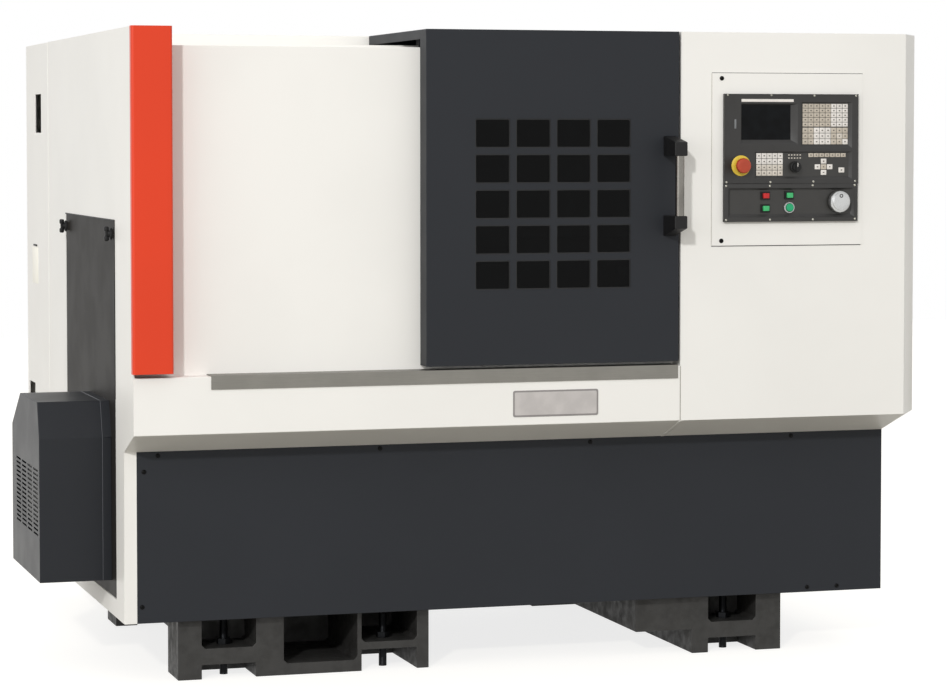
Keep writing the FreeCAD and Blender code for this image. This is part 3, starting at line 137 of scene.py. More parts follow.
def ranged(tree, value, low, high):
    """Noise between 0.3 and 0.7 spread over the range from low to high."""
    spread = node(tree, "ShaderNodeMapRange", {"Value": value, "From Min": 0.3, "From Max": 0.7,
                                               "To Min": low, "To Max": high},
                  interpolation_type="SMOOTHSTEP")
    return spread.outputs["Result"]


def blended(tree, value, dark, light):
    """A colour between two, chosen by the noise."""
    mix = node(tree, "ShaderNodeMix", {0: value, 6: dark, 7: light}, data_type="RGBA")
    return mix.outputs[2]


def finish(name, **fixed):
    """A new material with its shader's constants set on the shader itself."""
    material = bpy.data.materials.new(name)
    material.use_nodes = True
    shader = material.node_tree.nodes["Principled BSDF"]
    for socket, value in fixed.items():
        shader.inputs[socket.replace("_", " ")].default_value = value
    return material, material.node_tree, shader


def relief(tree, shader, height, depth, strength=1.0):
    """Turns a height, 0 to 1, into a bump that many millimetres deep."""
    bump = node(tree, "ShaderNodeBump", {"Height": height, "Strength": strength, "Distance": depth * MM})
    tree.links.new(bump.outputs["Normal"], shader.inputs["Normal"])


def layered(name, dark, light, clouds, smears, span, **fixed):
    """A finish whose colour drifts between two in clouds, and whose gloss drifts within a span."""
    material, tree, shader = finish(name, **fixed)
    patches = ranged(tree, grain(tree, **clouds), 0.0, 1.0)
    tree.links.new(blended(tree, patches, dark, light), shader.inputs["Base Color"])
    tree.links.new(ranged(tree, grain(tree, **smears), *span), shader.inputs["Roughness"])
    return material, tree, shader


print("helpers ready")

# %% [markdown]
# ## Paint
# The covers are folded sheet steel, degreased, sprayed with powder and baked. The powder melts into
# a satin coat with a fine orange-peel texture a millimetre or two across. The casting is brushed
# over with thick enamel, which keeps the sand's roughness underneath.

# %%
def powder_coat(name, hexcode, roughness, peel=1.8, depth=0.035, clouds=0.05, gloss=0.4):
    """Baked powder: fine orange peel, and slow clouds in colour and gloss."""
    colour = shade(hexcode)
    material, tree, shader = layered(
        name, dimmed(colour, 1 - clouds), colour, {"size": 420, "detail": 3.0},
        {"size": 130, "detail": 4.0, "seed": 3.0}, (roughness - 0.02, roughness + 0.03),
        Roughness=roughness, Specular_IOR_Level=gloss)
    relief(tree, shader, grain(tree, peel, detail=3.0), depth)
    return material


def cast_paint(name, hexcode, dust):
    """Enamel over a sand casting: coarse lumps, fine grit, and lighter dust in random patches."""
    colour = shade(hexcode)
    dusty = (*(channel * (1 + dust) + 0.002 for channel in colour[:3]), 1.0)
    material, tree, shader = layered(name, colour, dusty, {"size": 55, "detail": 5.0},
                                     {"size": 30, "seed": 2.0}, (0.5, 0.72), Roughness=0.6)
    lumps = node(tree, "ShaderNodeMath", {0: grain(tree, 16), 1: grain(tree, 2.6, detail=3.0)},
                 operation="ADD")
    relief(tree, shader, lumps.outputs[0], 0.5, 0.8)
    return material


beige = powder_coat("cover_powder_coat_light", "#F1EFEA", 0.42, clouds=0.03)
orange = powder_coat("post_powder_coat_orange", "#DC3A10", 0.34, clouds=0.03)
recess_white = powder_coat("recess_cover_coat_white", "#FFFCF0", 0.4, clouds=0.01)
FINE_COAT = {"peel": 1.4, "depth": 0.03}
charcoal = powder_coat("cover_powder_coat_dark", "#2D2F33", 0.46, clouds=0.06, gloss=0.14, **FINE_COAT)
access_coat = powder_coat("access_panel_coat_dark", "#2A2826", 0.5, clouds=0.08, gloss=0.07, **FINE_COAT)
hood_coat = powder_coat("hood_powder_coat_dark", "#26282C", 0.4, clouds=0.06, gloss=0.18, **FINE_COAT)
casting = cast_paint("bed_enamel_on_cast_iron", "#242321", 0.3)
cast_grey = cast_paint("head_enamel_on_cast_iron", "#8E8E8A", 0.1)
print("paints:", beige.name, charcoal.name, orange.name, casting.name)

# %% [markdown]
# ## Bare metal
# Metal that slides is ground, which leaves fine straight scratches along the travel. Round pieces
# are turned, so their marks run round the axis and the light spreads along a line. Sheet is
# brushed. Each is the same shader with the grain drawn out along another axis.

# %%
def steel(name, hexcode, roughness, along=(1, 1, 1), scratch=1.2, depth=0.012, worn=0.78):
    """Bare metal with scratches drawn out where the stretch factor is small."""
    colour = shade(hexcode)
    streaks = {"size": scratch, "stretch": along, "detail": 4.0}
    material, tree, shader = layered(
        name, dimmed(colour, worn), colour, {"size": 60, "detail": 3.0, "seed": 5.0}, streaks,
        (roughness - 0.08, roughness + 0.1), Metallic=1.0, Roughness=roughness)
    relief(tree, shader, grain(tree, **streaks), depth)
    return material


ALONG_X = (0.03, 1, 1)
ALONG_Z = (1, 1, 0.03)
ground = steel("ground_guideway_steel", "#B9BBBC", 0.3, ALONG_X)
turned = steel("turned_chuck_steel", "#A9ABAC", 0.26, (1, 0.35, 0.35), scratch=0.8)
brushed = steel("brushed_sill_steel", "#85837D", 0.46, ALONG_X, scratch=1.6, depth=0.02, worn=0.93)
stainless = steel("brushed_stainless_liner", "#9C9C99", 0.38, ALONG_Z, scratch=1.5)
# The bar's steel is darker than bare steel: painted reflection of the dark door round it.
polished = steel("polished_handle_steel", "#86837D", 0.2, ALONG_Z, scratch=0.6, depth=0.004)
zinc = steel("zinc_plated_fastener", "#B4B2A8", 0.34, scratch=1.0)
black_steel = steel("blackened_screw_steel", "#2B2C2E", 0.42, scratch=1.0)
anodised = steel("anodised_wheel_alloy", "#C9CACA", 0.3, (1, 0.2, 1), scratch=0.9)
galvanised = steel("galvanised_mounting_plate", "#A7ABAC", 0.5, scratch=9.0, depth=0.01)
print("metals ready")

# %% [markdown]
# ## Plastics, rubber and glass
# Moulded plastic copies the fine spark-eroded texture of its mould. Keys are a printed film over
# domes, so they are smoother. The window is polycarbonate tinted nearly black, which is painted shade
# of the dark chamber behind it, and the display is black until it is switched on.

# %%
def plastic(name, hexcode, roughness, texture=0.7, depth=0.02, gloss=0.5):
    """Moulded plastic with its mould's fine texture and a trace of handling."""
    colour = shade(hexcode)
    material, tree, shader = layered(
        name, dimmed(colour, 0.88), colour, {"size": 40, "detail": 3.0, "seed": 1.0},
        {"size": 22, "seed": 4.0}, (roughness - 0.04, roughness + 0.06),
        Roughness=roughness, Specular_IOR_Level=gloss)
    relief(tree, shader, grain(tree, texture), depth)
    return material


black_plastic = plastic("moulded_black_plastic", "#111112", 0.5, gloss=0.32)
bezel_plastic = plastic("panel_bezel_plastic", "#2A2928", 0.46, texture=1.1, depth=0.03)
recess_film = plastic("panel_membrane_film", "#302F2D", 0.42)
key_white = plastic("key_film_white", "#EAE5DF", 0.4)
key_cream = plastic("key_film_cream", "#D8D0C4", 0.4)
key_tan = plastic("key_film_tan", "#C6BCAD", 0.4)
key_ink = plastic("key_print_ink", "#605A53", 0.5)
red_plastic = plastic("lit_key_red", "#C31A1C", 0.3)
green_plastic = plastic("lit_key_green", "#3DB56E", 0.3)
start_green = plastic("start_key_green", "#12A36C", 0.3)
stop_red = plastic("emergency_stop_red", "#B23E20", 0.34)
yellow_plastic = plastic("stop_ring_yellow", "#DDBE3C", 0.45)
grey_plastic = plastic("drive_housing_grey", "#77797B", 0.5)
duct_plastic = plastic("wiring_duct_grey", "#A3A6A6", 0.55)
belt_rubber = plastic("toothed_belt_rubber", "#151515", 0.75, texture=1.5, depth=0.08)
# Black rubber for the window seals; the same black is painted shade in the control plate's gap and
# inside the ducts.
black_rubber_and_painted_shade = plastic("window_gasket_rubber", "#0D0D0E", 0.6)
# Black screw heads; the same black is painted shade in the access panel's gap.
screw_black_and_gap_shade = plastic("phosphated_screw_head", "#050505", 0.42, texture=0.4, gloss=0.12)
blank_plate = plastic("bare_nameplate_film", "#C4BFBC", 0.35)
plate_edge = plastic("nameplate_edge_grey", "#8E8A88", 0.4)
# A lighter grey than the hood: painted highlight along the hood's edge.
hood_edge_highlight_grey = plastic("rubbed_paint_edge", "#54565B", 0.4)
# A grey bead: its grey is painted shade of the seams where it lies.
bead = plastic("grey_sealant_bead", "#9B978E", 0.6, texture=2.0)

# The window's tint is nearly black: painted shade of the dark chamber seen through it.
pane_glass_painted_dark, _, _ = layered("polycarbonate_window", shade("#2C3132"), shade("#373D3E"), {"size": 150},
                           {"size": 18, "detail": 5.0}, (0.02, 0.08),
                           Roughness=0.03, IOR=1.2, Transmission_Weight=1.0)
display, _, _ = layered("unlit_display_glass", shade("#0A0B0C"), shade("#101214"), {"size": 35},
                        {"size": 12, "detail": 4.0}, (0.08, 0.2), Roughness=0.1, Specular_IOR_Level=0.1)
print("plastics and glass ready")

# %% [markdown]
# ## Finishes for the solids
# Each solid of the CAD model takes one finish, by the way its real piece is made.

# %%
FINISHES = {
    beige: ["left_end_cover", "front_canopy", "rear_canopy", "front_band", "right_cabinet",
            "electrical_cabinet", "cabinet_door", "control_plate", "door_guide"],
    charcoal: ["kick_panel", "door_panel", "door_tray", "coolant_tank"],
    access_coat: ["belt_access_panel"],
    hood_coat: ["motor_hood", "hood_collar"],
    orange: ["corner_post"],
    casting: ["bed_casting", "motor_bracket"],
    cast_grey: ["headstock", "saddle", "cross_slide", "tailstock", "spindle_motor"],
    ground: ["guide_rails", "quill", "ball_screw"],
    turned: ["chuck", "chuck_jaw_1", "chuck_jaw_2", "chuck_jaw_3", "spindle", "spindle_bearings",
             "spindle_pulley", "motor_pulley", "turret_disc", "live_centre"],
    brushed: ["sill_rail"],
    stainless: ["chamber_liner"],
    polished: ["handle_bar"],
    black_steel: ["panel_screws", "levelling_screws"],
    anodised: ["handwheel"],
    galvanised: ["drive_rack"],
    black_plastic: ["panel_latch_front", "panel_latch_rear", "handle_brackets", "feed_motor",
                    "override_knob"],
    bezel_plastic: ["screen_unit", "operator_panel"],
    display: ["screen"],
    stop_red: ["stop_button"],
    red_plastic: ["red_button", "main_switch"],
    green_plastic: ["start_button", "green_button_upper", "green_button_lower"],
    belt_rubber: ["drive_belt"],
    pane_glass_painted_dark: ["door_window"],
}
finish_of = {name: material for material, names in FINISHES.items() for name in names}
for name, solid in nodes.items():
    for material_slot in solid.material_slots:
        material_slot.material = finish_of[name]
bodies = frame["record"]["behaviour"]["bodies"]
body_of = {piece: body for body, pieces in bodies.items() for piece in pieces}
print("solids with a finish:", len(finish_of), "left out:", sorted(set(nodes) - set(finish_of)))

# %% [markdown]
# ## Studio
# A pale floor, a white surround and two lamps: a small one far off, high and about thirty degrees
# to the left, which throws the crisp shadows beside the post and the handle, and a broad weak one
# near the left side. The floor shows white to the camera but keeps the shadow under the machine.

# %%
SURROUND_LEVEL = 0.81
FLOOR_GLOW = 0.8
FLOOR_DEPTH = -0.0005


def glow_to_camera(tree):
    """1 where the camera, a reflection or a clear pane looks straight at the surface."""
    path = node(tree, "ShaderNodeLightPath")
    seen = path.outputs["Is Camera Ray"]
    for ray in ("Is Glossy Ray", "Is Transmission Ray"):
        either = node(tree, "ShaderNodeMath", {0: seen, 1: path.outputs[ray]}, operation="MAXIMUM")
        seen = either.outputs[0]
    return seen


world = bpy.data.worlds.new("white_surround")
bpy.context.scene.world = world
world.use_nodes = True
air = world.node_tree
level = node(air, "ShaderNodeMapRange", {
    "Value": glow_to_camera(air), "To Min": SURROUND_LEVEL, "To Max": 1.0})
air.links.new(level.outputs["Result"], air.nodes["Background"].inputs["Strength"])
air.nodes["Background"].inputs["Color"].default_value = (1.0, 1.0, 1.0, 1.0)

floor_finish, floor_tree, floor_shader = finish("studio_floor", Roughness=0.9)
floor_shader.inputs["Base Color"].default_value = shade("#9A968C")
floor_shader.inputs["Emission Color"].default_value = (1.0, 1.0, 1.0, 1.0)
floor_glow = node(floor_tree, "ShaderNodeMath", {0: glow_to_camera(floor_tree), 1: FLOOR_GLOW},
                  operation="MULTIPLY")
floor_tree.links.new(floor_glow.outputs[0], floor_shader.inputs["Emission Strength"])
floor_mesh = bpy.data.meshes.new("studio_floor")
floor_mesh.from_pydata([(x, y, FLOOR_DEPTH) for x, y in ((-14, -12), (14, -12), (14, 14), (-14, 14))],
                       [], [(0, 1, 2, 3)])
floor_mesh.materials.append(floor_finish)
studio_floor = placed("studio_floor", floor_mesh)


def soft_lamp(name, place, aim, size, power):
    """A square soft box turned towards a point."""
    data = bpy.data.lights.new(name, "AREA")
    data.size = size
    data.energy = power
    lamp = placed(name, data)
    lamp.location = place
    lamp.rotation_euler = (Vector(aim) - Vector(place)).to_track_quat("-Z", "Y").to_euler()


soft_lamp("key_softbox", (-11.4, -19.6, 10.8), (0.0, -0.6, 1.0), 1.0, 2400)
soft_lamp("fill_softbox", (-5.5, -3.6, 2.4), (-0.4, 0.0, 0.9), 3.0, 42)
print("studio lit")

# %% [markdown]
# ## Shaping pieces
# Folded sheet has a rounded outer edge of about the sheet's own thickness, and it is that edge
# which catches a line of light. The solids have sharp folds to stay light, so the main covers are
# copied, their edges merged and rounded, and the copies shown instead.
# Round pieces are spun from a profile, and whatever repeats is set out by one node tree.

# %%
SMOOTH_BELOW = 35


def as_mesh(name, shape):
    """Writes out an editing mesh, or a list of them as one, with the faces turned outward."""
    if isinstance(shape, list):
        whole = bmesh.new()
        for part in shape:
            written = as_mesh(name, part)
            whole.from_mesh(written)
            bpy.data.meshes.remove(written)
        shape = whole
    bmesh.ops.recalc_face_normals(shape, faces=shape.faces)
    mesh = bpy.data.meshes.new(name)
    shape.to_mesh(mesh)
    shape.free()
    return mesh


def dressed(made, body, covers, smooth=SMOOTH_BELOW):
    """Smooths a piece, and lets it ride on its body in place of the solids that it covers."""
    made.data.shade_smooth()
    made.data.set_sharp_from_angle(angle=math.radians(smooth))
    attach(made, body)
    if covers:
        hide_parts(*covers)
    return made


def publish(name, shape, material, body="machine", covers=(), smooth=SMOOTH_BELOW):
    """Makes a piece of a shape and gives it its finish."""
    mesh = as_mesh(name, shape)
    mesh.materials.append(material)
    return dressed(placed(name, mesh), body, covers, smooth)


def settled(made):
    """Replaces an object's mesh by what its modifiers make of it, and takes the modifiers off."""
    bpy.context.view_layer.update()
    evaluated = made.evaluated_get(bpy.context.evaluated_depsgraph_get())
    result = bpy.data.meshes.new_from_object(evaluated)
    made.modifiers.clear()
    made.data = result


def softened(solid, fold, steps=3, least_face=0.012, angle=28):
    """A copy of a solid whose main folds are rounded by that many millimetres."""
    shape = bmesh.new()
    shape.from_mesh(nodes[solid].data)
    bmesh.ops.remove_doubles(shape, verts=shape.verts, dist=1e-5)
    bmesh.ops.dissolve_limit(shape, angle_limit=math.radians(0.8), verts=shape.verts, edges=shape.edges)
    folds = []
    for edge in shape.edges:
        if len(edge.link_faces) == 2 and edge.calc_face_angle(0.0) > math.radians(angle):
            if min(face.calc_area() for face in edge.link_faces) > least_face:
                folds.append(edge)
    bmesh.ops.bevel(shape, geom=folds, offset=fold * MM, segments=steps, profile=0.5, affect="EDGES",
                    clamp_overlap=True)
    made = publish(solid + "_formed", shape, finish_of[solid], body_of[solid], (solid,))
    made.modifiers.new("flat_faces", "WEIGHTED_NORMAL").keep_sharp = True
    settled(made)
    print(solid, "rounded folds:", len(folds))


def skin(shape, rings, closed=False):
    """Faces from each ring of points to the next, where a ring may also be a single point."""
    for first, second in zip(rings, rings[1:] + rings[:1] if closed else rings[1:]):
        count = max(len(first), len(second))
        for step in range(count):
            after = (step + 1) % count
            corners = list(dict.fromkeys([first[step % len(first)], first[after % len(first)],
                                          second[after % len(second)], second[step % len(second)]]))
            if len(corners) > 2:
                shape.faces.new(corners)


def spun(profile, centre, segments=48, axis="Y"):
    """A closed turned shape: (radius, distance along the axis) pairs spun round the axis, in mm."""
    shape = bmesh.new()
    rings = []
    turn = {"Y": Matrix.Identity(3), "X": Matrix.Rotation(math.radians(-90), 3, "Z"),
            "Z": Matrix.Rotation(math.radians(90), 3, "X")}[axis]
    for radius, along in profile:
        count = 1 if radius == 0 else segments
        ring = []
        for step in range(count):
            angle = 2 * math.pi * step / segments
            point = turn @ Vector((radius * math.cos(angle), along, radius * math.sin(angle)))
            ring.append(shape.verts.new(point * MM + at(*centre)))
        rings.append(ring)
    skin(shape, rings)
    return shape


def rounded_block(low, high, radius, steps=2, centre=True):
    """A block with all its edges rounded, between two corners in millimetres."""
    shape = bmesh.new()
    bmesh.ops.create_cube(shape, size=1.0)
    low, high = Vector(low), Vector(high)
    for vertex in shape.verts:
        part = vertex.co + Vector((0.5, 0.5, 0.5))
        spot = Vector([low[i] + part[i] * (high[i] - low[i]) for i in range(3)])
        vertex.co = at(*spot) if centre else spot * MM
    bmesh.ops.bevel(shape, geom=shape.edges[:], offset=radius * MM, segments=steps, profile=0.5,
                    affect="EDGES", clamp_overlap=True)
    return shape


def blocks(*given, centre=True):
    """Rounded blocks, each given as low corner, high corner, radius and perhaps its steps."""
    return [rounded_block(*block, centre=centre) for block in given]


def setting_out_tree():
    """The node tree that sets a piece at each point of a mesh, turned a little by chance."""
    tree = bpy.data.node_groups.new("set_out_pieces", "GeometryNodeTree")
    for label, kind in (("Points", "NodeSocketGeometry"), ("Piece", "NodeSocketObject"),
                        ("Finish", "NodeSocketMaterial"), ("Turn", "NodeSocketVector"),
                        ("Seed", "NodeSocketInt")):
        tree.interface.new_socket(label, in_out="INPUT", socket_type=kind)
    tree.interface.new_socket("Placed", in_out="OUTPUT", socket_type="NodeSocketGeometry")
    given = node(tree, "NodeGroupInput")
    held = node(tree, "GeometryNodeObjectInfo", {"Object": given.outputs["Piece"]})
    least = node(tree, "ShaderNodeVectorMath", {0: given.outputs["Turn"], "Scale": -1.0},
                 operation="SCALE")
    chance = node(tree, "FunctionNodeRandomValue", {
        0: least.outputs[0], 1: given.outputs["Turn"], "Seed": given.outputs["Seed"]},
        data_type="FLOAT_VECTOR")
    copies = node(tree, "GeometryNodeInstanceOnPoints", {
        "Points": given.outputs["Points"], "Instance": held.outputs["Geometry"],
        "Rotation": chance.outputs[0]})
    real = node(tree, "GeometryNodeRealizeInstances", {"Geometry": copies.outputs["Instances"]})
    coated = node(tree, "GeometryNodeSetMaterial", {"Geometry": real.outputs["Geometry"],
                                                    "Material": given.outputs["Finish"]})
    node(tree, "NodeGroupOutput", {"Placed": coated.outputs["Geometry"]})
    return tree


SET_OUT = setting_out_tree()


def set_out(name, pattern, places, material, body="machine", covers=(), turn=(0, 0, 0), seed=1):
    """Repeats a pattern, shaped round the origin, at places in millimetres."""
    piece = placed(name + "_pattern", as_mesh(name + "_pattern", pattern))
    points = bpy.data.meshes.new(name)
    points.from_pydata([at(*place) for place in places], [], [])
    made = placed(name, points)
    repeat = made.modifiers.new("set_out", "NODES")
    repeat.node_group = SET_OUT
    values = {"Piece": piece, "Finish": material, "Turn": turn, "Seed": seed}
    for socket in SET_OUT.interface.items_tree:
        if socket.name in values:
            repeat[socket.identifier] = values[socket.name]
    made.update_tag()
    settled(made)
    bpy.data.objects.remove(piece)
    dressed(made, body, covers)
    print(name, "set out:", len(places), "faces:", len(made.data.polygons))


# %% [markdown]
# ## Covers
# The casing's covers with their folds rounded: the light boxes first, then the dark door, the panel
# below the band, and the hood over the motor's end.

# %%
SHEET_FOLD = 2.0
for solid in ("left_end_cover", "front_canopy", "front_band", "right_cabinet", "electrical_cabinet",
              "cabinet_door", "kick_panel", "belt_access_panel", "door_tray"):
    softened(solid, SHEET_FOLD)
for solid in ("motor_hood", "hood_collar"):
    softened(solid, SHEET_FOLD, least_face=0.002, angle=10)
softened("door_panel", SHEET_FOLD, least_face=0.003)
softened("rear_canopy", SHEET_FOLD)
softened("corner_post", 3.0, least_face=0.002)

# %% [markdown]
# ## Castings
# A sand casting has no sharp edge: the pattern needs rounded corners so that the iron fills the
# mould. Its edges are therefore broader than the sheet's, and a little uneven in the paint.

# %%
for solid, fold, least_face in (("bed_casting", 4.0, 0.0012), ("headstock", 6.0, 0.004),
                                ("saddle", 3.0, 0.0008), ("cross_slide", 4.0, 0.0008),
                                ("tailstock", 4.0, 0.0008)):
    softened(solid, fold, steps=2, least_face=least_face)

# %% [markdown]
# ## Screws and levelling screws
# The panel below the band and the plate round the controls are held by button-head screws with a
# hexagon socket. Each stops at its own angle, so the set-out turns them by chance. The levelling
# screws are coarse threaded rods: the thread is a ridge that climbs as it goes round.

# %%
def button_head(radius, height):
    """A domed screw head with a hexagon socket, pointing forward along -Y."""
    return spun([(0, -height * 0.45), (radius * 0.42, -height * 0.45), (radius * 0.42, -height),
                 (radius * 0.75, -height * 0.86), (radius * 0.95, -height * 0.5), (radius, 0), (0, 0)],
                CORNER, 24)


ROUND_ITS_AXIS = (0, math.pi, 0)
KICK_PANEL_Y, PLATE_Y = 155.0, -3.0
KICK_SCREWS = [(97, 649), (57, 604), (50, 222), (745, 650), (1385, 650), (2023, 650), (2078, 190),
               (2175, 190)]
PLATE_SCREWS = [(1733, 1716), (1733, 1243)]
screw_spots = [(x, KICK_PANEL_Y, z) for x, z in KICK_SCREWS]
screw_spots += [(x, PLATE_Y, z) for x, z in PLATE_SCREWS]
set_out("panel_screw_heads", button_head(6.8, 3.0), screw_spots, screw_black_and_gap_shade,
        covers=("panel_screws",), turn=ROUND_ITS_AXIS, seed=4)

UNIT_SCREWS = [(1747, 1668), (1884, 1668), (2020, 1667), (2153, 1667), (1744, 1414), (1882, 1414),
               (2018, 1415), (2151, 1416), (1743, 1403), (1880, 1403), (2016, 1404), (2150, 1404),
               (1743, 1304), (1881, 1304), (2017, 1304), (2151, 1305)]
set_out("unit_screw_heads", button_head(3.2, 1.6), [(x, FACE_Y, z) for x, z in UNIT_SCREWS], zinc,
        turn=ROUND_ITS_AXIS, seed=9)


def threaded(place, length, radius, pitch, steps=20):
    """A rod whose ridge climbs by the pitch each turn; place makes a point of (side, side, along)."""
    shape = bmesh.new()
    rings_per_pitch = 4
    levels = int(length / pitch * rings_per_pitch)
    rings = []
    for level in range(levels + 1):
        ring = []
        for step in range(steps):
            angle = 2 * math.pi * step / steps
            phase = (level / rings_per_pitch + step / steps) % 1.0
            r = radius - pitch * 0.5 * abs(phase - 0.5)
            point = place(r * math.cos(angle), r * math.sin(angle), length * level / levels)
            ring.append(shape.verts.new(point))
        rings.append(ring)
    skin(shape, rings)
    shape.faces.new(rings[0][::-1])
    shape.faces.new(rings[-1])
    return shape


def hexagon(x, y, low, high, radius):
    """A nut's hexagon standing on the casting."""
    shape = bmesh.new()
    bmesh.ops.create_cone(shape, cap_ends=True, segments=6, radius1=radius * MM, radius2=radius * MM,
                          depth=(high - low) * MM)
    bmesh.ops.bevel(shape, geom=shape.edges[:], offset=0.8 * MM, segments=1, affect="EDGES")
    bmesh.ops.translate(shape, verts=shape.verts, vec=at(x, y, (low + high) / 2))
    return shape


SCREW_COLUMNS, SCREW_ROWS = ((308, 88), (783, 84), (1851.5, 92)), (270, 1265)
SCREW_RADIUS, SCREW_PITCH, NUT_RADIUS, NUT_HEIGHT, ABOVE_SHELF = 12, 3.5, 21.5, 16.8, 70
parts = []
for x, shelf in SCREW_COLUMNS:
    for y in SCREW_ROWS:
        parts.append(threaded(lambda a, b, up, x=x, y=y: at(x + a, y + b, up),
                              shelf + ABOVE_SHELF, SCREW_RADIUS, SCREW_PITCH))
        parts.append(hexagon(x, y, shelf, shelf + NUT_HEIGHT, NUT_RADIUS))
publish("levelling_screws_threaded", parts, black_steel, covers=("levelling_screws",), smooth=25)

# %% [markdown]
# ## Nameplate place
# The band carries a shallow plate 258 mm wide. It is left bare: a pale film in a thin silver rim,
# stuck on the powder coat.

# %%
PLATE_MIDDLE, PLATE_SIZE, PLATE_FILM_SIZE = (1226, 782), (258, 76), (248, 66)


def outlined(width, height, corner, quarter=5):
    """Points round a rectangle with rounded corners, as (across, up) in millimetres."""
    w, h = width / 2 - corner, height / 2 - corner
    points = []
    for number, (cx, cz) in enumerate(((w, h), (-w, h), (-w, -h), (w, -h))):
        for step in range(quarter):
            angle = math.radians(90 * number + 90 * step / (quarter - 1))
            points.append((cx + corner * math.cos(angle), cz + corner * math.sin(angle)))
    return points


def plate_form(centre, width, height, corner, back, front, edge=0.5):
    """A thin plate with rounded corners and a softened front edge, facing -Y."""
    shape = bmesh.new()
    rings = []
    for inset, y in ((0, back), (0, front + edge), (edge, front)):
        ring = outlined(width - 2 * inset, height - 2 * inset, max(corner - inset, 0.2))
        rings.append([shape.verts.new(at(centre[0] + x, y, centre[1] + z)) for x, z in ring])
    skin(shape, rings)
    shape.faces.new(rings[0])
    shape.faces.new(rings[-1])
    return shape


publish("nameplate_edge", plate_form(PLATE_MIDDLE, *PLATE_SIZE, 6, 0.3, -1.4), plate_edge)
publish("nameplate_film", plate_form(PLATE_MIDDLE, *PLATE_FILM_SIZE, 4, -1.0, -1.8), blank_plate)
print("nameplate place is bare")

# %% [markdown]
# ## Seams
# Where two covers meet, a bead of sealant keeps coolant mist in. Beads run down the band beside the
# control cabinet and on under its slope, round the mounting plate of the controls, where the electrical
# cabinet meets the left end, and along the motor hood. The grey of the band's bead and of the plate's
# side strips is painted shade of the seam, the black strips above and below the plate are painted
# shadow in its gap, and the hood's lighter bead is a painted highlight along its edge. The same cell
# gives the cabinet's side recess its cover and catch, and the access panel a black strip of painted
# shade in its gap.

# %%
def bead_run(points, across, width, proud=1.0, sunk=0.6):
    """A bead along a run of places in the Y-Z plane, of a width in X, standing a little proud."""
    shape = bmesh.new()
    section = ((-0.5, -sunk), (-0.3, proud), (0.3, proud), (0.5, -sunk))
    rings = [[shape.verts.new(at(across + side * width, y + out * out_y, z + out * out_z))
              for side, out in section] for y, z, out_y, out_z in points]
    skin(shape, rings)
    shape.faces.new(rings[0])
    shape.faces.new(rings[-1][::-1])
    return shape


BAND_RUN = [(0, 880, -1, 0), (0, 722, -1, 0)]
SLOPE_RUN = [(0, 722.5, -0.8, -0.5), (1.5, 719.5, -0.5, -0.86), (154, 660.5, -0.36, -0.93)]
HOOD_RUN = [(719, 788, 0.4, 0.9), (391, 788, -0.4, 0.9), (357, 685, -1, 0.2), (357, 274, -1, 0)]
# The band's seam bead is grey: painted shade of the seam line.
publish("band_seam_bead", bead_run(BAND_RUN, 1608, 2.6), bead)
publish("slope_seam_bead", [bead_run(SLOPE_RUN, 1608, 3.2, 1.2), bead_run(SLOPE_RUN[1:], 1613, 11, 0.2)],
        beige)
STRIPS = {
    "cabinet_seam_bead": (beige, [((-1.0, 1474.6, 176), (0.6, 1477.4, 1849), 0.4, 1)]),
    "recess_cover": (recess_white, [((-0.6, 1703, 1063), (1.2, 1823, 1183), 0.8)]),
    "recess_catch": (black_plastic, [((-2.4, 1722, 1186), (0.2, 1790, 1192), 0.8)]),
    # A black strip along the access panel's top and front edges: painted shade in the gap round the
    # panel.
    "access_gap": (screw_black_and_gap_shade, [((-2.2, 279, 1307.6), (0.4, 1133, 1311), 0.3, 1),
                                 ((-2.2, 276.4, 800), (0.4, 279.6, 1310), 0.3, 1)]),
    # Black strips above and below the control plate are painted shadow in the gap round it; the grey
    # strips at its sides are the same gap's lighter painted shade.
    "plate_seam_bead": (black_rubber_and_painted_shade, [((1703, -0.6, 1731.4), (2180, 0.9, 1732.8), 0.3, 1),
                                        ((1703, -0.6, 1226.4), (2176, 0.9, 1228.6), 0.3, 1)]),
    "plate_side_bead": (bead, [((1702.2, -0.6, 1229), (1703.2, 0.9, 1731), 0.3, 1),
                               ((2177.2, -0.6, 1229), (2178.4, 0.9, 1731), 0.3, 1)]),
}
for name, (material, given) in STRIPS.items():
    publish(name, blocks(*given), material)
# The hood's bead is lighter than its paint: a painted highlight along the edge.
publish("hood_seam_bead", bead_run(HOOD_RUN, -25, 2.0), hood_edge_highlight_grey, body_of["motor_hood"])
print("seams:", 3 + len(STRIPS))

# %% [markdown]
# ## Door window
# Behind the pierced face lies one sheet of polycarbonate in a rubber seal. The seal shows as a
# dark rim inside every pane, because it is pressed a little past the edge of the metal.

# %%
COLUMNS, ROWS = 4, 5
PANE_SIZE, PANE_STEP, FIRST_PANE, SEAL_Y = (104.6, 83.6), (121.7, 101), (1034.5, 1152), -2.0
pane_spots = [(FIRST_PANE[0] + PANE_STEP[0] * column, SEAL_Y, FIRST_PANE[1] + PANE_STEP[1] * row)
              for row in range(ROWS) for column in range(COLUMNS)]


def pane_rim(width, height, corner, lip, front, back):
    """The seal round one pane: a rounded rectangle with a rounded hole."""
    shape = bmesh.new()
    rings = []
    for inset, y in ((0, back), (0, front), (lip, front), (lip, back)):
        ring = outlined(width - 2 * inset, height - 2 * inset, max(corner - inset, 1.0), quarter=4)
        rings.append([shape.verts.new(Vector((x, y, z)) * MM) for x, z in ring])
    skin(shape, rings, closed=True)
    return shape


set_out("window_seals", pane_rim(*PANE_SIZE, 7, 3.0, -1.2, 0.0), pane_spots, black_rubber_and_painted_shade, "door")

# %% [markdown]
# ## Door handle
# Two moulded brackets hold a polished steel bar. The brackets taper towards the bar and all their
# edges are rounded, because a hand closes round them.

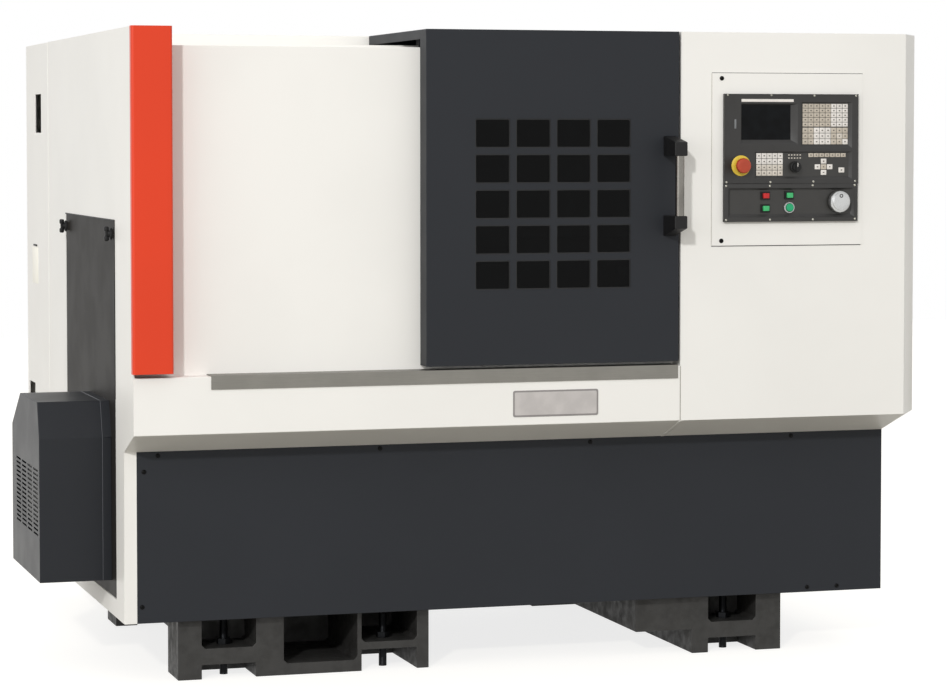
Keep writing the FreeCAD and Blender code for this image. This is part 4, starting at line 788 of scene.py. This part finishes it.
# %%
softened("handle_brackets", 3.0, least_face=0.0003)

# %% [markdown]
# ## Control units
# The two units are moulded bezels. Each well in a bezel has sloping walls, so that the mould can let
# go and the edge of a film or a screen is easy to see at an angle. A well is a front rectangle, a
# floor rectangle and the four slopes between them; the rest of the front is filled round the wells.

# %%
def rectangle(x0, x1, z0, z1, y):
    """Four corners of a rectangle in the X-Z plane."""
    return [at(x0, y, z0), at(x1, y, z0), at(x1, y, z1), at(x0, y, z1)]


def bezel(outer, front, back, wells):
    """A bezel with wells: each is (opening, floor, depth), rectangles as (x0, x1, z0, z1)."""
    shape = bmesh.new()

    def ring(corners):
        """New points at the corners, and the edges between them."""
        points = [shape.verts.new(corner) for corner in corners]
        return points, [shape.edges.new((points[i], points[(i + 1) % 4])) for i in range(4)]

    rim, border = ring(rectangle(*outer, front))
    rear, _ = ring(rectangle(*outer, back))
    for opening, floor, depth in wells:
        high, edges = ring(rectangle(*opening, front))
        low, _ = ring(rectangle(*floor, front + depth))
        border += edges
        skin(shape, [high, low])
        shape.faces.new(low)
    skin(shape, [rim, rear])
    shape.faces.new(rear)
    bmesh.ops.triangle_fill(shape, use_beauty=True, use_dissolve=False, edges=border)
    bmesh.ops.dissolve_limit(shape, angle_limit=math.radians(0.5), verts=shape.verts,
                             edges=shape.edges)
    folds = [edge for edge in shape.edges if edge.calc_face_angle(0.0) > math.radians(12)]
    bmesh.ops.bevel(shape, geom=folds, offset=1.0 * MM, segments=2, profile=0.5, affect="EDGES",
                    clamp_overlap=True)
    return shape


UPPER = (1737, 2160, 1409.5, 1671)
LOWER = (1737, 2160, 1298, 1409)
UNIT_BACK_Y = -3
SCREEN_FLOOR, KEY_FLOOR, DESK_FLOOR, PANEL_FLOOR = 11.4, 7.0, 6.0, 7.0
upper_wells = [
    ((1789, 1968, 1525, 1643), (1794, 1949, 1537, 1639), SCREEN_FLOOR),
    ((1980, 2141, 1513, 1648), (1983, 2131, 1522, 1645), KEY_FLOOR),
    ((1833, 2141, 1423, 1503), (1837, 2132, 1429, 1500), DESK_FLOOR)]
lower_wells = [((1749, 2149, 1311, 1397), (1757, 2138, 1319, 1391), PANEL_FLOOR)]
publish("screen_unit_bezel", [bezel(UPPER, FACE_Y, UNIT_BACK_Y, upper_wells),
                              *blocks(((1752, -4, 1410), (2145, 55, 1656), 1.0, 1))],
        bezel_plastic, covers=("screen_unit",))
publish("operator_panel_bezel", [bezel(LOWER, FACE_Y, UNIT_BACK_Y, lower_wells),
                                 *blocks(((1752, -4, 1313), (2145, 55, 1409), 1.0, 1))],
        bezel_plastic, covers=("operator_panel",))

film_wells = zip(("key_film", "machine_key_film", "panel_film"), upper_wells[1:] + lower_wells)
for name, (_, (x0, x1, z0, z1), depth) in film_wells:
    floor = FACE_Y + depth
    publish(name, blocks(((x0 + 1, floor - 0.4, z0 + 1), (x1 - 1, floor + 0.3, z1 - 1), 0.2, 1)),
            recess_film)
_, (x0, x1, z0, z1), depth = upper_wells[0]
floor = FACE_Y + depth
publish("display_glass", blocks(((x0 + 0.5, floor - 1.0, z0 + 0.5), (x1 - 0.5, floor + 0.5, z1 - 0.5),
                                 0.4, 1)), display, covers=("screen",))
print("wells:", len(upper_wells) + len(lower_wells))

# %% [markdown]
# ## Keys
# Each key is a low dome under printed film, so it is a small block with rounded edges. They stand in
# rows, and one set-out serves a whole colour. The letters in each plan give the colour of every key
# from the top row down: c cream, w white, t tan, and a blank where there is none. The printing on
# the keys is left as one plain dash on each.

# %%
KEY_COLOURS = {"c": key_cream, "w": key_white, "t": key_tan}


def key_field(name, left, top, pitch, gap, plan, y):
    """Rows of keys by a plan of letters; pitch and gap are in millimetres, across and up."""
    half_width, half_height = (pitch[0] - gap) / 2, (pitch[1] - gap) / 2

    def places(letters):
        """Where the plan has one of these letters."""
        return [(left + pitch[0] * (column + 0.5), y, top - pitch[1] * (row + 0.5))
                for row, line in enumerate(plan) for column, mark in enumerate(line) if mark in letters]

    for letter, material in KEY_COLOURS.items():
        if places(letter):
            cap = blocks(((-half_width, -1.0, -half_height), (half_width, 0.2, half_height), 0.7),
                         centre=False)
            set_out(f"{name}_{material.name[4:]}", cap, places(letter), material)
    dash = blocks(((-2.4, -1.15, -1.7), (2.4, -0.9, 1.7), 0.1, 1), centre=False)
    set_out(name + "_print", dash, places("cwt"), key_ink)


FILM_TOP = 0.4
KEY_Y, DESK_Y = FACE_Y + KEY_FLOOR - FILM_TOP, FACE_Y + DESK_FLOOR - FILM_TOP
key_field("keypad", 1984.5, 1643.5, (18.15, 13.6), 1.2, ["tttttwww"] * 5, KEY_Y)
key_field("function_keys", 1984.5, 1573.5, (18.15, 16.7), 1.2,
          ["ttwwwttt", "ttwwwtct", "ttwwwttw"], KEY_Y)
key_field("number_keys", 1838.5, 1499, (16.9, 16.8), 1.2, ["wwwww", "wwwww", "ccccc", "ccccc"], DESK_Y)
key_field("strip_keys", 2003, 1499, (17.2, 13.0), 1.8, ["ttttttt"], DESK_Y)
key_field("jog_keys", 2023, 1483, (19.5, 16.6), 2.0, [" w ", "wtw", " w "], DESK_Y)
key_field("single_key", 2099, 1457, (20.5, 17.0), 2.0, ["w"], DESK_Y)
publish("bare_title_strip", blocks(((1790, FACE_Y - 0.5, 1648), (1954, FACE_Y + 0.3, 1656), 0.2, 1)),
        key_white)
publish("card_slot", blocks(((1768, FACE_Y - 0.7, 1570), (1774, FACE_Y + 0.3, 1597), 0.5)), grey_plastic)

# %% [markdown]
# ## Push buttons, knob and handwheel
# The emergency stop is a mushroom head on a yellow ring, so it can be struck without looking. The lit
# keys are small lenses in dark housings. The override knob has a grip bar with a white pointer over
# moulded dial marks, and the handwheel is a turned alloy disc with a finger dimple, drawn as a black
# ring of painted shade for the dimple's hollow.

# %%
STOP, KNOB = (1789, FACE_Y, 1462), (1960, FACE_Y, 1458)
WHEEL, START = (2097, FACE_Y, 1356), (1943, FACE_Y, 1339)
PANEL_Y = FACE_Y + PANEL_FLOOR


def flat_frame(x0, x1, z0, z1, y0, y1, width):
    """A rectangular rim, mitred at its corners."""
    shape = bmesh.new()
    edge = (x0, x1, z0, z1)
    hole = (x0 + width, x1 - width, z0 + width, z1 - width)
    rings = [[shape.verts.new(corner) for corner in rectangle(*sides, y)]
             for sides, y in ((edge, y1), (edge, y0), (hole, y0), (hole, y1))]
    skin(shape, rings, closed=True)
    return shape


publish("stop_ring", spun([(13, 1.0), (30, 1.0), (30, -1.6), (29, -2.4), (20, -3.4), (13, -3.4)],
                          STOP, 56), yellow_plastic)
publish("stop_head", spun([(0, 18), (9, 18), (9, -13), (19, -13.5), (22, -16), (22, -24), (20.4, -27),
                           (16, -28.6), (9, -29.4), (0, -29.6)], STOP, 56),
        stop_red, body_of["stop_button"], ("stop_button",))

LENSES = {"red_button": (red_plastic, 1868, 1374), "green_button_upper": (green_plastic, 1943, 1375),
          "green_button_lower": (green_plastic, 1868, 1337)}
for name, (material, x, z) in LENSES.items():
    publish(name + "_lens", blocks(((x - 9.4, FACE_Y - 5, z - 7.5), (x + 9.4, FACE_Y + 3.1, z + 7.5),
                                    1.2, 3)), material, body_of[name], (name,))
    publish(name + "_housing", flat_frame(x - 14, x + 14, z - 12, z + 12, PANEL_Y - 4.5,
                                          PANEL_Y + 0.5, 4.3), black_plastic)
publish("start_lens", spun([(0, 12), (11.5, 12), (11.5, -3.5), (10, -5), (0, -5)], START, 40),
        start_green, body_of["start_button"], ("start_button",))
publish("start_ring", spun([(12.0, 0.5), (16.5, 0.5), (16.5, -5.5), (15.3, -7), (13.2, -7),
                            (12.0, -5.5)], (START[0], PANEL_Y, START[2]), 40), anodised)


def ridged(profile, ridges, depth, centre, segments):
    """A turned shape whose rim rises and falls round it, as a grip does."""
    shape = spun(profile, centre, segments)
    widest = max(radius for radius, _ in profile)
    for vertex in shape.verts:
        arm = (vertex.co - at(*centre)) / MM
        radius = math.hypot(arm.x, arm.z)
        if radius > widest - 1.5:
            wave = 1 - depth / radius * (0.5 + 0.5 * math.cos(ridges * math.atan2(arm.z, arm.x)))
            vertex.co = at(*centre) + Vector((arm.x * wave, arm.y, arm.z * wave)) * MM
    return shape


x, y, z = KNOB
knob_skirt = ridged([(0, 15), (3, 15), (3, -0.5), (17, -0.5), (17, -5), (13.5, -8), (13, -16), (0, -16)],
                    16, 1.0, KNOB, 96)
knob_bar = rounded_block((x - 4.5, y - 20, z - 13), (x + 4.5, y - 15, z + 13), 1.5, 3)
publish("override_knob_form", [knob_skirt, knob_bar], black_plastic, body_of["override_knob"],
        ("override_knob",))
publish("knob_pointer", blocks(((x - 1.1, y - 20.3, z + 1), (x + 1.1, y - 19.6, z + 12), 0.2, 1)),
        key_white, body_of["override_knob"])
marks = [(x - 18 + 9 * column, DESK_Y, z + rise) for rise in (26, 35) for column in range(5)]
mark = blocks(((-2.2, -0.3, -1.6), (2.2, 0.2, 1.6), 0.1, 1), centre=False)
set_out("dial_marks", mark, marks, key_cream)

x, y, z = WHEEL
wheel_rim = ridged([(0, 15), (4, 15), (4, -1), (32, -1), (32, -16), (30.5, -18), (27, -18.5), (26, -19),
                    (26, -24.5), (24.5, -26), (0, -26)], 48, 0.7, WHEEL, 192)
publish("handwheel_form", wheel_rim, anodised, body_of["handwheel"], ("handwheel",))
# A black ring on the wheel's face: painted shade where the finger dimple's hollow is.
publish("handwheel_dimple", spun([(3.2, 0.2), (5.6, 0.2), (5.6, -0.6), (3.2, -0.6)],
                                 (x - 1, y - 26, z + 17), 24), black_plastic, body_of["handwheel"])
print("controls dressed")

# %% [markdown]
# ## Latches of the belt access panel
# Two quarter-turn latches hold the panel: a round seat and a short bar with a lobe at each end, so
# that a gloved hand can turn it. Behind the panel a tongue on the stem grips the cover's edge.

# %%
LATCH_Z = 1271
for name, y in (("panel_latch_front", 307), ("panel_latch_rear", 1095)):
    seat = spun([(0, -4.5), (17, -4.5), (17, -8), (15, -10), (10, -10), (9, -16), (0, -16)],
                (0, y, LATCH_Z), 32, "X")
    bar = rounded_block((-23, y - 4.5, 1255), (-14, y + 4.5, 1287), 2.2, 3)
    lobes = [rounded_block((-26, y - 7, low), (-12, y + 7, low + 15), 4.5, 4) for low in (1250, 1277)]
    stem = spun([(0, -5), (6, -5), (6, 12), (0, 12)], (0, y, LATCH_Z), 20, "X")
    tongue = rounded_block((6.5, y - 9, 1265), (11, y + 9, 1331), 0.8, 1)
    publish(name + "_form", [seat, bar, *lobes, stem, tongue], black_plastic, body_of[name], (name,))
print("latches dressed")

# %% [markdown]
# ## Work holding
# The chuck's body and jaws are turned and ground steel with every edge broken. Cap screws hold the
# top jaws, and the turret's tools carry small gold carbide inserts, the part that really cuts.

# %%
for solid, fold, least_face in (("chuck", 1.6, 0.00005), ("chuck_jaw_1", 1.2, 0.00002),
                                ("chuck_jaw_2", 1.2, 0.00002), ("chuck_jaw_3", 1.2, 0.00002),
                                ("turret_disc", 1.2, 0.0001), ("spindle", 1.2, 0.00002)):
    softened(solid, fold, steps=2, least_face=least_face)

SPINDLE_Y, SPINDLE_Z, CHUCK_FACE = 700.0, 1080.0, 790.0


def cap_screw_x(radius, height):
    """A cylindrical cap screw with a socket, its head towards +X."""
    return spun([(0, -1), (radius, -1), (radius, height - 0.8), (radius - 0.8, height),
                 (radius * 0.5, height), (radius * 0.45, height * 0.45), (0, height * 0.45)],
                CORNER, 20, "X")


def round_spindle(radius, degrees, x):
    """A place at a radius and an angle round the spindle axis, up being 0."""
    angle = math.radians(degrees)
    return (x, SPINDLE_Y + radius * math.sin(angle), SPINDLE_Z + radius * math.cos(angle))


bolt_spots = [round_spindle(92, 60 + 120 * number, CHUCK_FACE) for number in range(3)]
set_out("chuck_bolts", cap_screw_x(6.5, 6.0), bolt_spots, black_steel, body_of["chuck"])
for number in range(3):
    jaw = f"chuck_jaw_{number + 1}"
    set_out(jaw + "_screw", cap_screw_x(5.5, 4.5), [round_spindle(106, -120 * number, CHUCK_FACE + 16)],
            black_steel, body_of[jaw])

SLOPE = math.radians(45)
SLOPE_FOOT_Y, SLOPE_FOOT_Z = 884, 896
TURRET_UP, TURRET_OUT = 330.0, 260.215


def on_slope(x, up, out):
    """A place on the sloping bed: up along the slope, and out square to it."""
    return (x, SLOPE_FOOT_Y + up * math.cos(SLOPE) - out * math.sin(SLOPE),
            SLOPE_FOOT_Z + up * math.sin(SLOPE) + out * math.cos(SLOPE))


def round_turret(x, radius, across, degrees):
    """A place round the turret's axis: radius outwards and a step across, at a station's angle."""
    angle = math.radians(degrees)
    return on_slope(x, TURRET_UP + across * math.cos(angle) - radius * math.sin(angle),
                    TURRET_OUT + across * math.sin(angle) + radius * math.cos(angle))


INSERT_CORNERS = ((-9.5, 196), (1.9, 200), (-3.4, 210.2), (-13.0, 210.2))
INSERT_FRONT_X, INSERT_BACK_X, CLAMP_X = 1083.2, 1080.6, 1073.5
inserts, clamps = [], []
for degrees in range(0, 360, 90):
    shape = bmesh.new()
    rings = [[shape.verts.new(at(*round_turret(x, radius, across, degrees)))
              for across, radius in INSERT_CORNERS] for x in (INSERT_FRONT_X, INSERT_BACK_X)]
    skin(shape, rings)
    for ring in rings:
        shape.faces.new(ring)
    inserts.append(shape)
    clamps += [round_turret(CLAMP_X, 156, across, degrees) for across in (-18, 0, 18)]
carbide = steel("coated_carbide_insert", "#C9A43C", 0.3, scratch=0.5)
publish("carbide_inserts", inserts, carbide, body_of["turret_disc"])
clamp = spun([(0, 1), (5.5, 1), (5.5, -4.4), (4.8, -5), (2.8, -5), (2.5, -2.5), (0, -2.5)],
             CORNER, 20, "X")
set_out("tool_clamp_screws", clamp, clamps, black_steel, body_of["turret_disc"])

BALL_SCREW_X, BALL_SCREW_LENGTH, BALL_SCREW_OUT = 710, 1299.5, -12


def along_bed(a, b, forward):
    """Points of the ball screw, which lies in the bed's trough."""
    return at(*on_slope(BALL_SCREW_X + forward, a, BALL_SCREW_OUT + b))


publish("ball_screw_thread", threaded(along_bed, BALL_SCREW_LENGTH, 16, 10, 24), ground,
        body_of["ball_screw"], ("ball_screw",), smooth=50)
print("work holding dressed")

# %% [markdown]
# ## Spindle motor
# The motor's body is an aluminium extrusion with cooling fins along it, through which the fan blows
# air to the hood's slots. Each of its eight sides but the top, where the terminal box sits, gets a
# row of fins, and each is one thin block turned round the motor's axis.

# %%
MOTOR_AXIS = (-35, 620, 510)
FIN_ROOT, FIN_TIP, FIN_HALF_LENGTH, FIN_HALF_THICKNESS = 104, 126, 111, 1.5
fins = []
for side in range(1, 8):
    turn = Matrix.Rotation(math.radians(45 * side), 3, "X")
    for across in (-36, -18, 0, 18, 36):
        fin, = blocks(((-FIN_HALF_LENGTH, across - FIN_HALF_THICKNESS, FIN_ROOT),
                       (FIN_HALF_LENGTH, across + FIN_HALF_THICKNESS, FIN_TIP), 0.6, 1), centre=False)
        bmesh.ops.rotate(fin, verts=fin.verts, cent=(0, 0, 0), matrix=turn)
        bmesh.ops.translate(fin, verts=fin.verts, vec=at(*MOTOR_AXIS))
        fins.append(fin)
print("motor fins:", len(fins))
publish("motor_fins", fins, cast_grey, body_of["spindle_motor"])

# %% [markdown]
# ## Electrical cabinet
# Behind the rear door a galvanised plate carries the servo drives, a row of breakers, the contactors,
# the transformer and the terminal strip, with slotted ducts between them for the wiring. Rows of
# equal devices are one pattern set out along their rail.

# %%
RACK_Y = 1483.0
publish("rack_plate", blocks(((60, 1479, 260), (1040, RACK_Y, 1780), 1.5)), galvanised,
        covers=("drive_rack",))


def device_row(name, places, material, *given):
    """A row of equal devices that stand off the plate, each made of rounded blocks."""
    set_out(name, blocks(*given, centre=False), places, material)


DRIVES = [(175 + 150 * number, RACK_Y, 1370) for number in range(3)]
BREAKERS = [(642.5 + 60 * number, RACK_Y, 1430) for number in range(6)]
CONTACTORS = [(655 + 90 * number, RACK_Y, 1165) for number in range(4)]
TERMINALS = [(529 + 9 * number, RACK_Y, 445) for number in range(50)]
device_row("servo_drives", DRIVES, grey_plastic,
           ((-55, 0, -190), (55, 150, 190), 3), ((-50, 148, -150), (50, 186, 140), 4),
           *[((-52 + 8 * n, 120, 158), (-49 + 8 * n, 168, 186), 0.5) for n in range(14)])
device_row("drive_displays", DRIVES, display, ((-30, 185, 92), (30, 187, 124), 0.6))
device_row("drive_plugs", DRIVES, green_plastic,
           *[((-34 + 24 * n, 185, -120), (-16 + 24 * n, 191, -60), 1.2) for n in range(3)])
device_row("breakers", BREAKERS, duct_plastic,
           ((-22.5, 6, -50), (22.5, 60, 50), 1.5), ((-22.5, 58, -24), (22.5, 72, 24), 1.5))
device_row("breaker_levers", BREAKERS, black_plastic, ((-12, 70, -4), (12, 80, 10), 1.5))
device_row("contactors", CONTACTORS, black_plastic,
           ((-35, 6, -45), (35, 66, 45), 2), ((-35, 64, -26), (35, 86, 26), 2))
device_row("contactor_screws", CONTACTORS, zinc,
           *[((-29 + 16 * n, 65, z), (-21 + 16 * n, 68, z + 8), 1) for n in range(4) for z in (-41, 33)])
publish("transformer_core", blocks(
    ((150, RACK_Y, 330), (420, 1660, 385), 2), ((150, RACK_Y, 565), (420, 1660, 620), 2),
    *[((x, RACK_Y, 380), (x + 40, 1660, 570), 1) for x in (150, 265, 380)]), black_steel)
publish("transformer_coils", blocks(*[((x, 1495, 388), (x + 71, 1678, 562), 9, 3) for x in (192, 307)]),
        plastic("varnished_coil_winding", "#7A3B1E", 0.35, texture=2.4, depth=0.2))
device_row("terminals", TERMINALS, duct_plastic,
           ((-4.2, 6, -25), (4.2, 34, 25), 0.8), ((-4.2, 33, -12), (4.2, 46, 12), 0.8))
for name, z, x0, x1 in (("breaker_rail", 1430, 600, 1000), ("contactor_rail", 1165, 600, 1000),
                        ("terminal_rail", 445, 505, 995)):
    publish(name, blocks(((x0, RACK_Y, z - 17), (x1, RACK_Y + 7, z + 17), 1, 1)), zinc)

DUCTS = [(80, 1020, 1640), (560, 1020, 1290), (80, 1020, 1030), (80, 1020, 700)]
FINGER_PITCH = 12
bases = [((x0, RACK_Y, z - 20), (x1, RACK_Y + 8, z + 20), 1, 1) for x0, x1, z in DUCTS]
lids = [((x0, RACK_Y + 52, z - 22), (x1, RACK_Y + 58, z + 22), 1, 1) for x0, x1, z in DUCTS]
publish("duct_bases_and_lids", blocks(*bases, *lids), duct_plastic)
fingers = [(x0 + 6 + FINGER_PITCH * n, RACK_Y, z + side) for x0, x1, z in DUCTS for side in (-19, 19)
           for n in range(int((x1 - x0 - 6) / FINGER_PITCH))]
device_row("duct_fingers", fingers, duct_plastic, ((-3.4, 4, -1), (3.4, 55, 1), 0.4))
publish("duct_shadow", blocks(*[((x0 + 3, RACK_Y + 8, z - 15), (x1 - 3, RACK_Y + 50, z + 15), 6, 2)
                                for x0, x1, z in DUCTS]), black_rubber_and_painted_shade)
print("electrical cabinet dressed")

# %% [markdown]
# ## Rear door fittings
# The rear door has a black swing handle, hinge pins of zinc-plated steel and a yellow plate under
# the red main switch. The supply comes in through a cable gland on the cabinet's right side.

# %%
softened("main_switch", 1.5, steps=2, least_face=0.00001)
publish("switch_plate", blocks(((217, 1959.8, 1387), (283, 1962.4, 1453), 1.0)), yellow_plastic,
        body_of["cabinet_door"])
publish("rear_door_handle", blocks(((29, 1959.5, 929), (53, 1966, 1071), 3),
                                   ((34, 1964, 960), (48, 1974, 1060), 4, 3)),
        black_plastic, body_of["cabinet_door"])
publish("cable_gland", spun([(9.3, 0), (23.3, 0), (23.3, 10), (21, 12), (18.6, 13), (18.6, 32),
                             (16.5, 36), (9.3, 36)], (1100, 1700, 300), 36, "X"), black_plastic)
publish("hinge_barrels", [spun([(0, 0), (6.6, 0), (6.6, 48), (0, 48)], (1104, 1950, low + 1), 24, "Z")
                          for low in (480, 1500)], zinc, body_of["cabinet_door"])
print("rear door dressed")
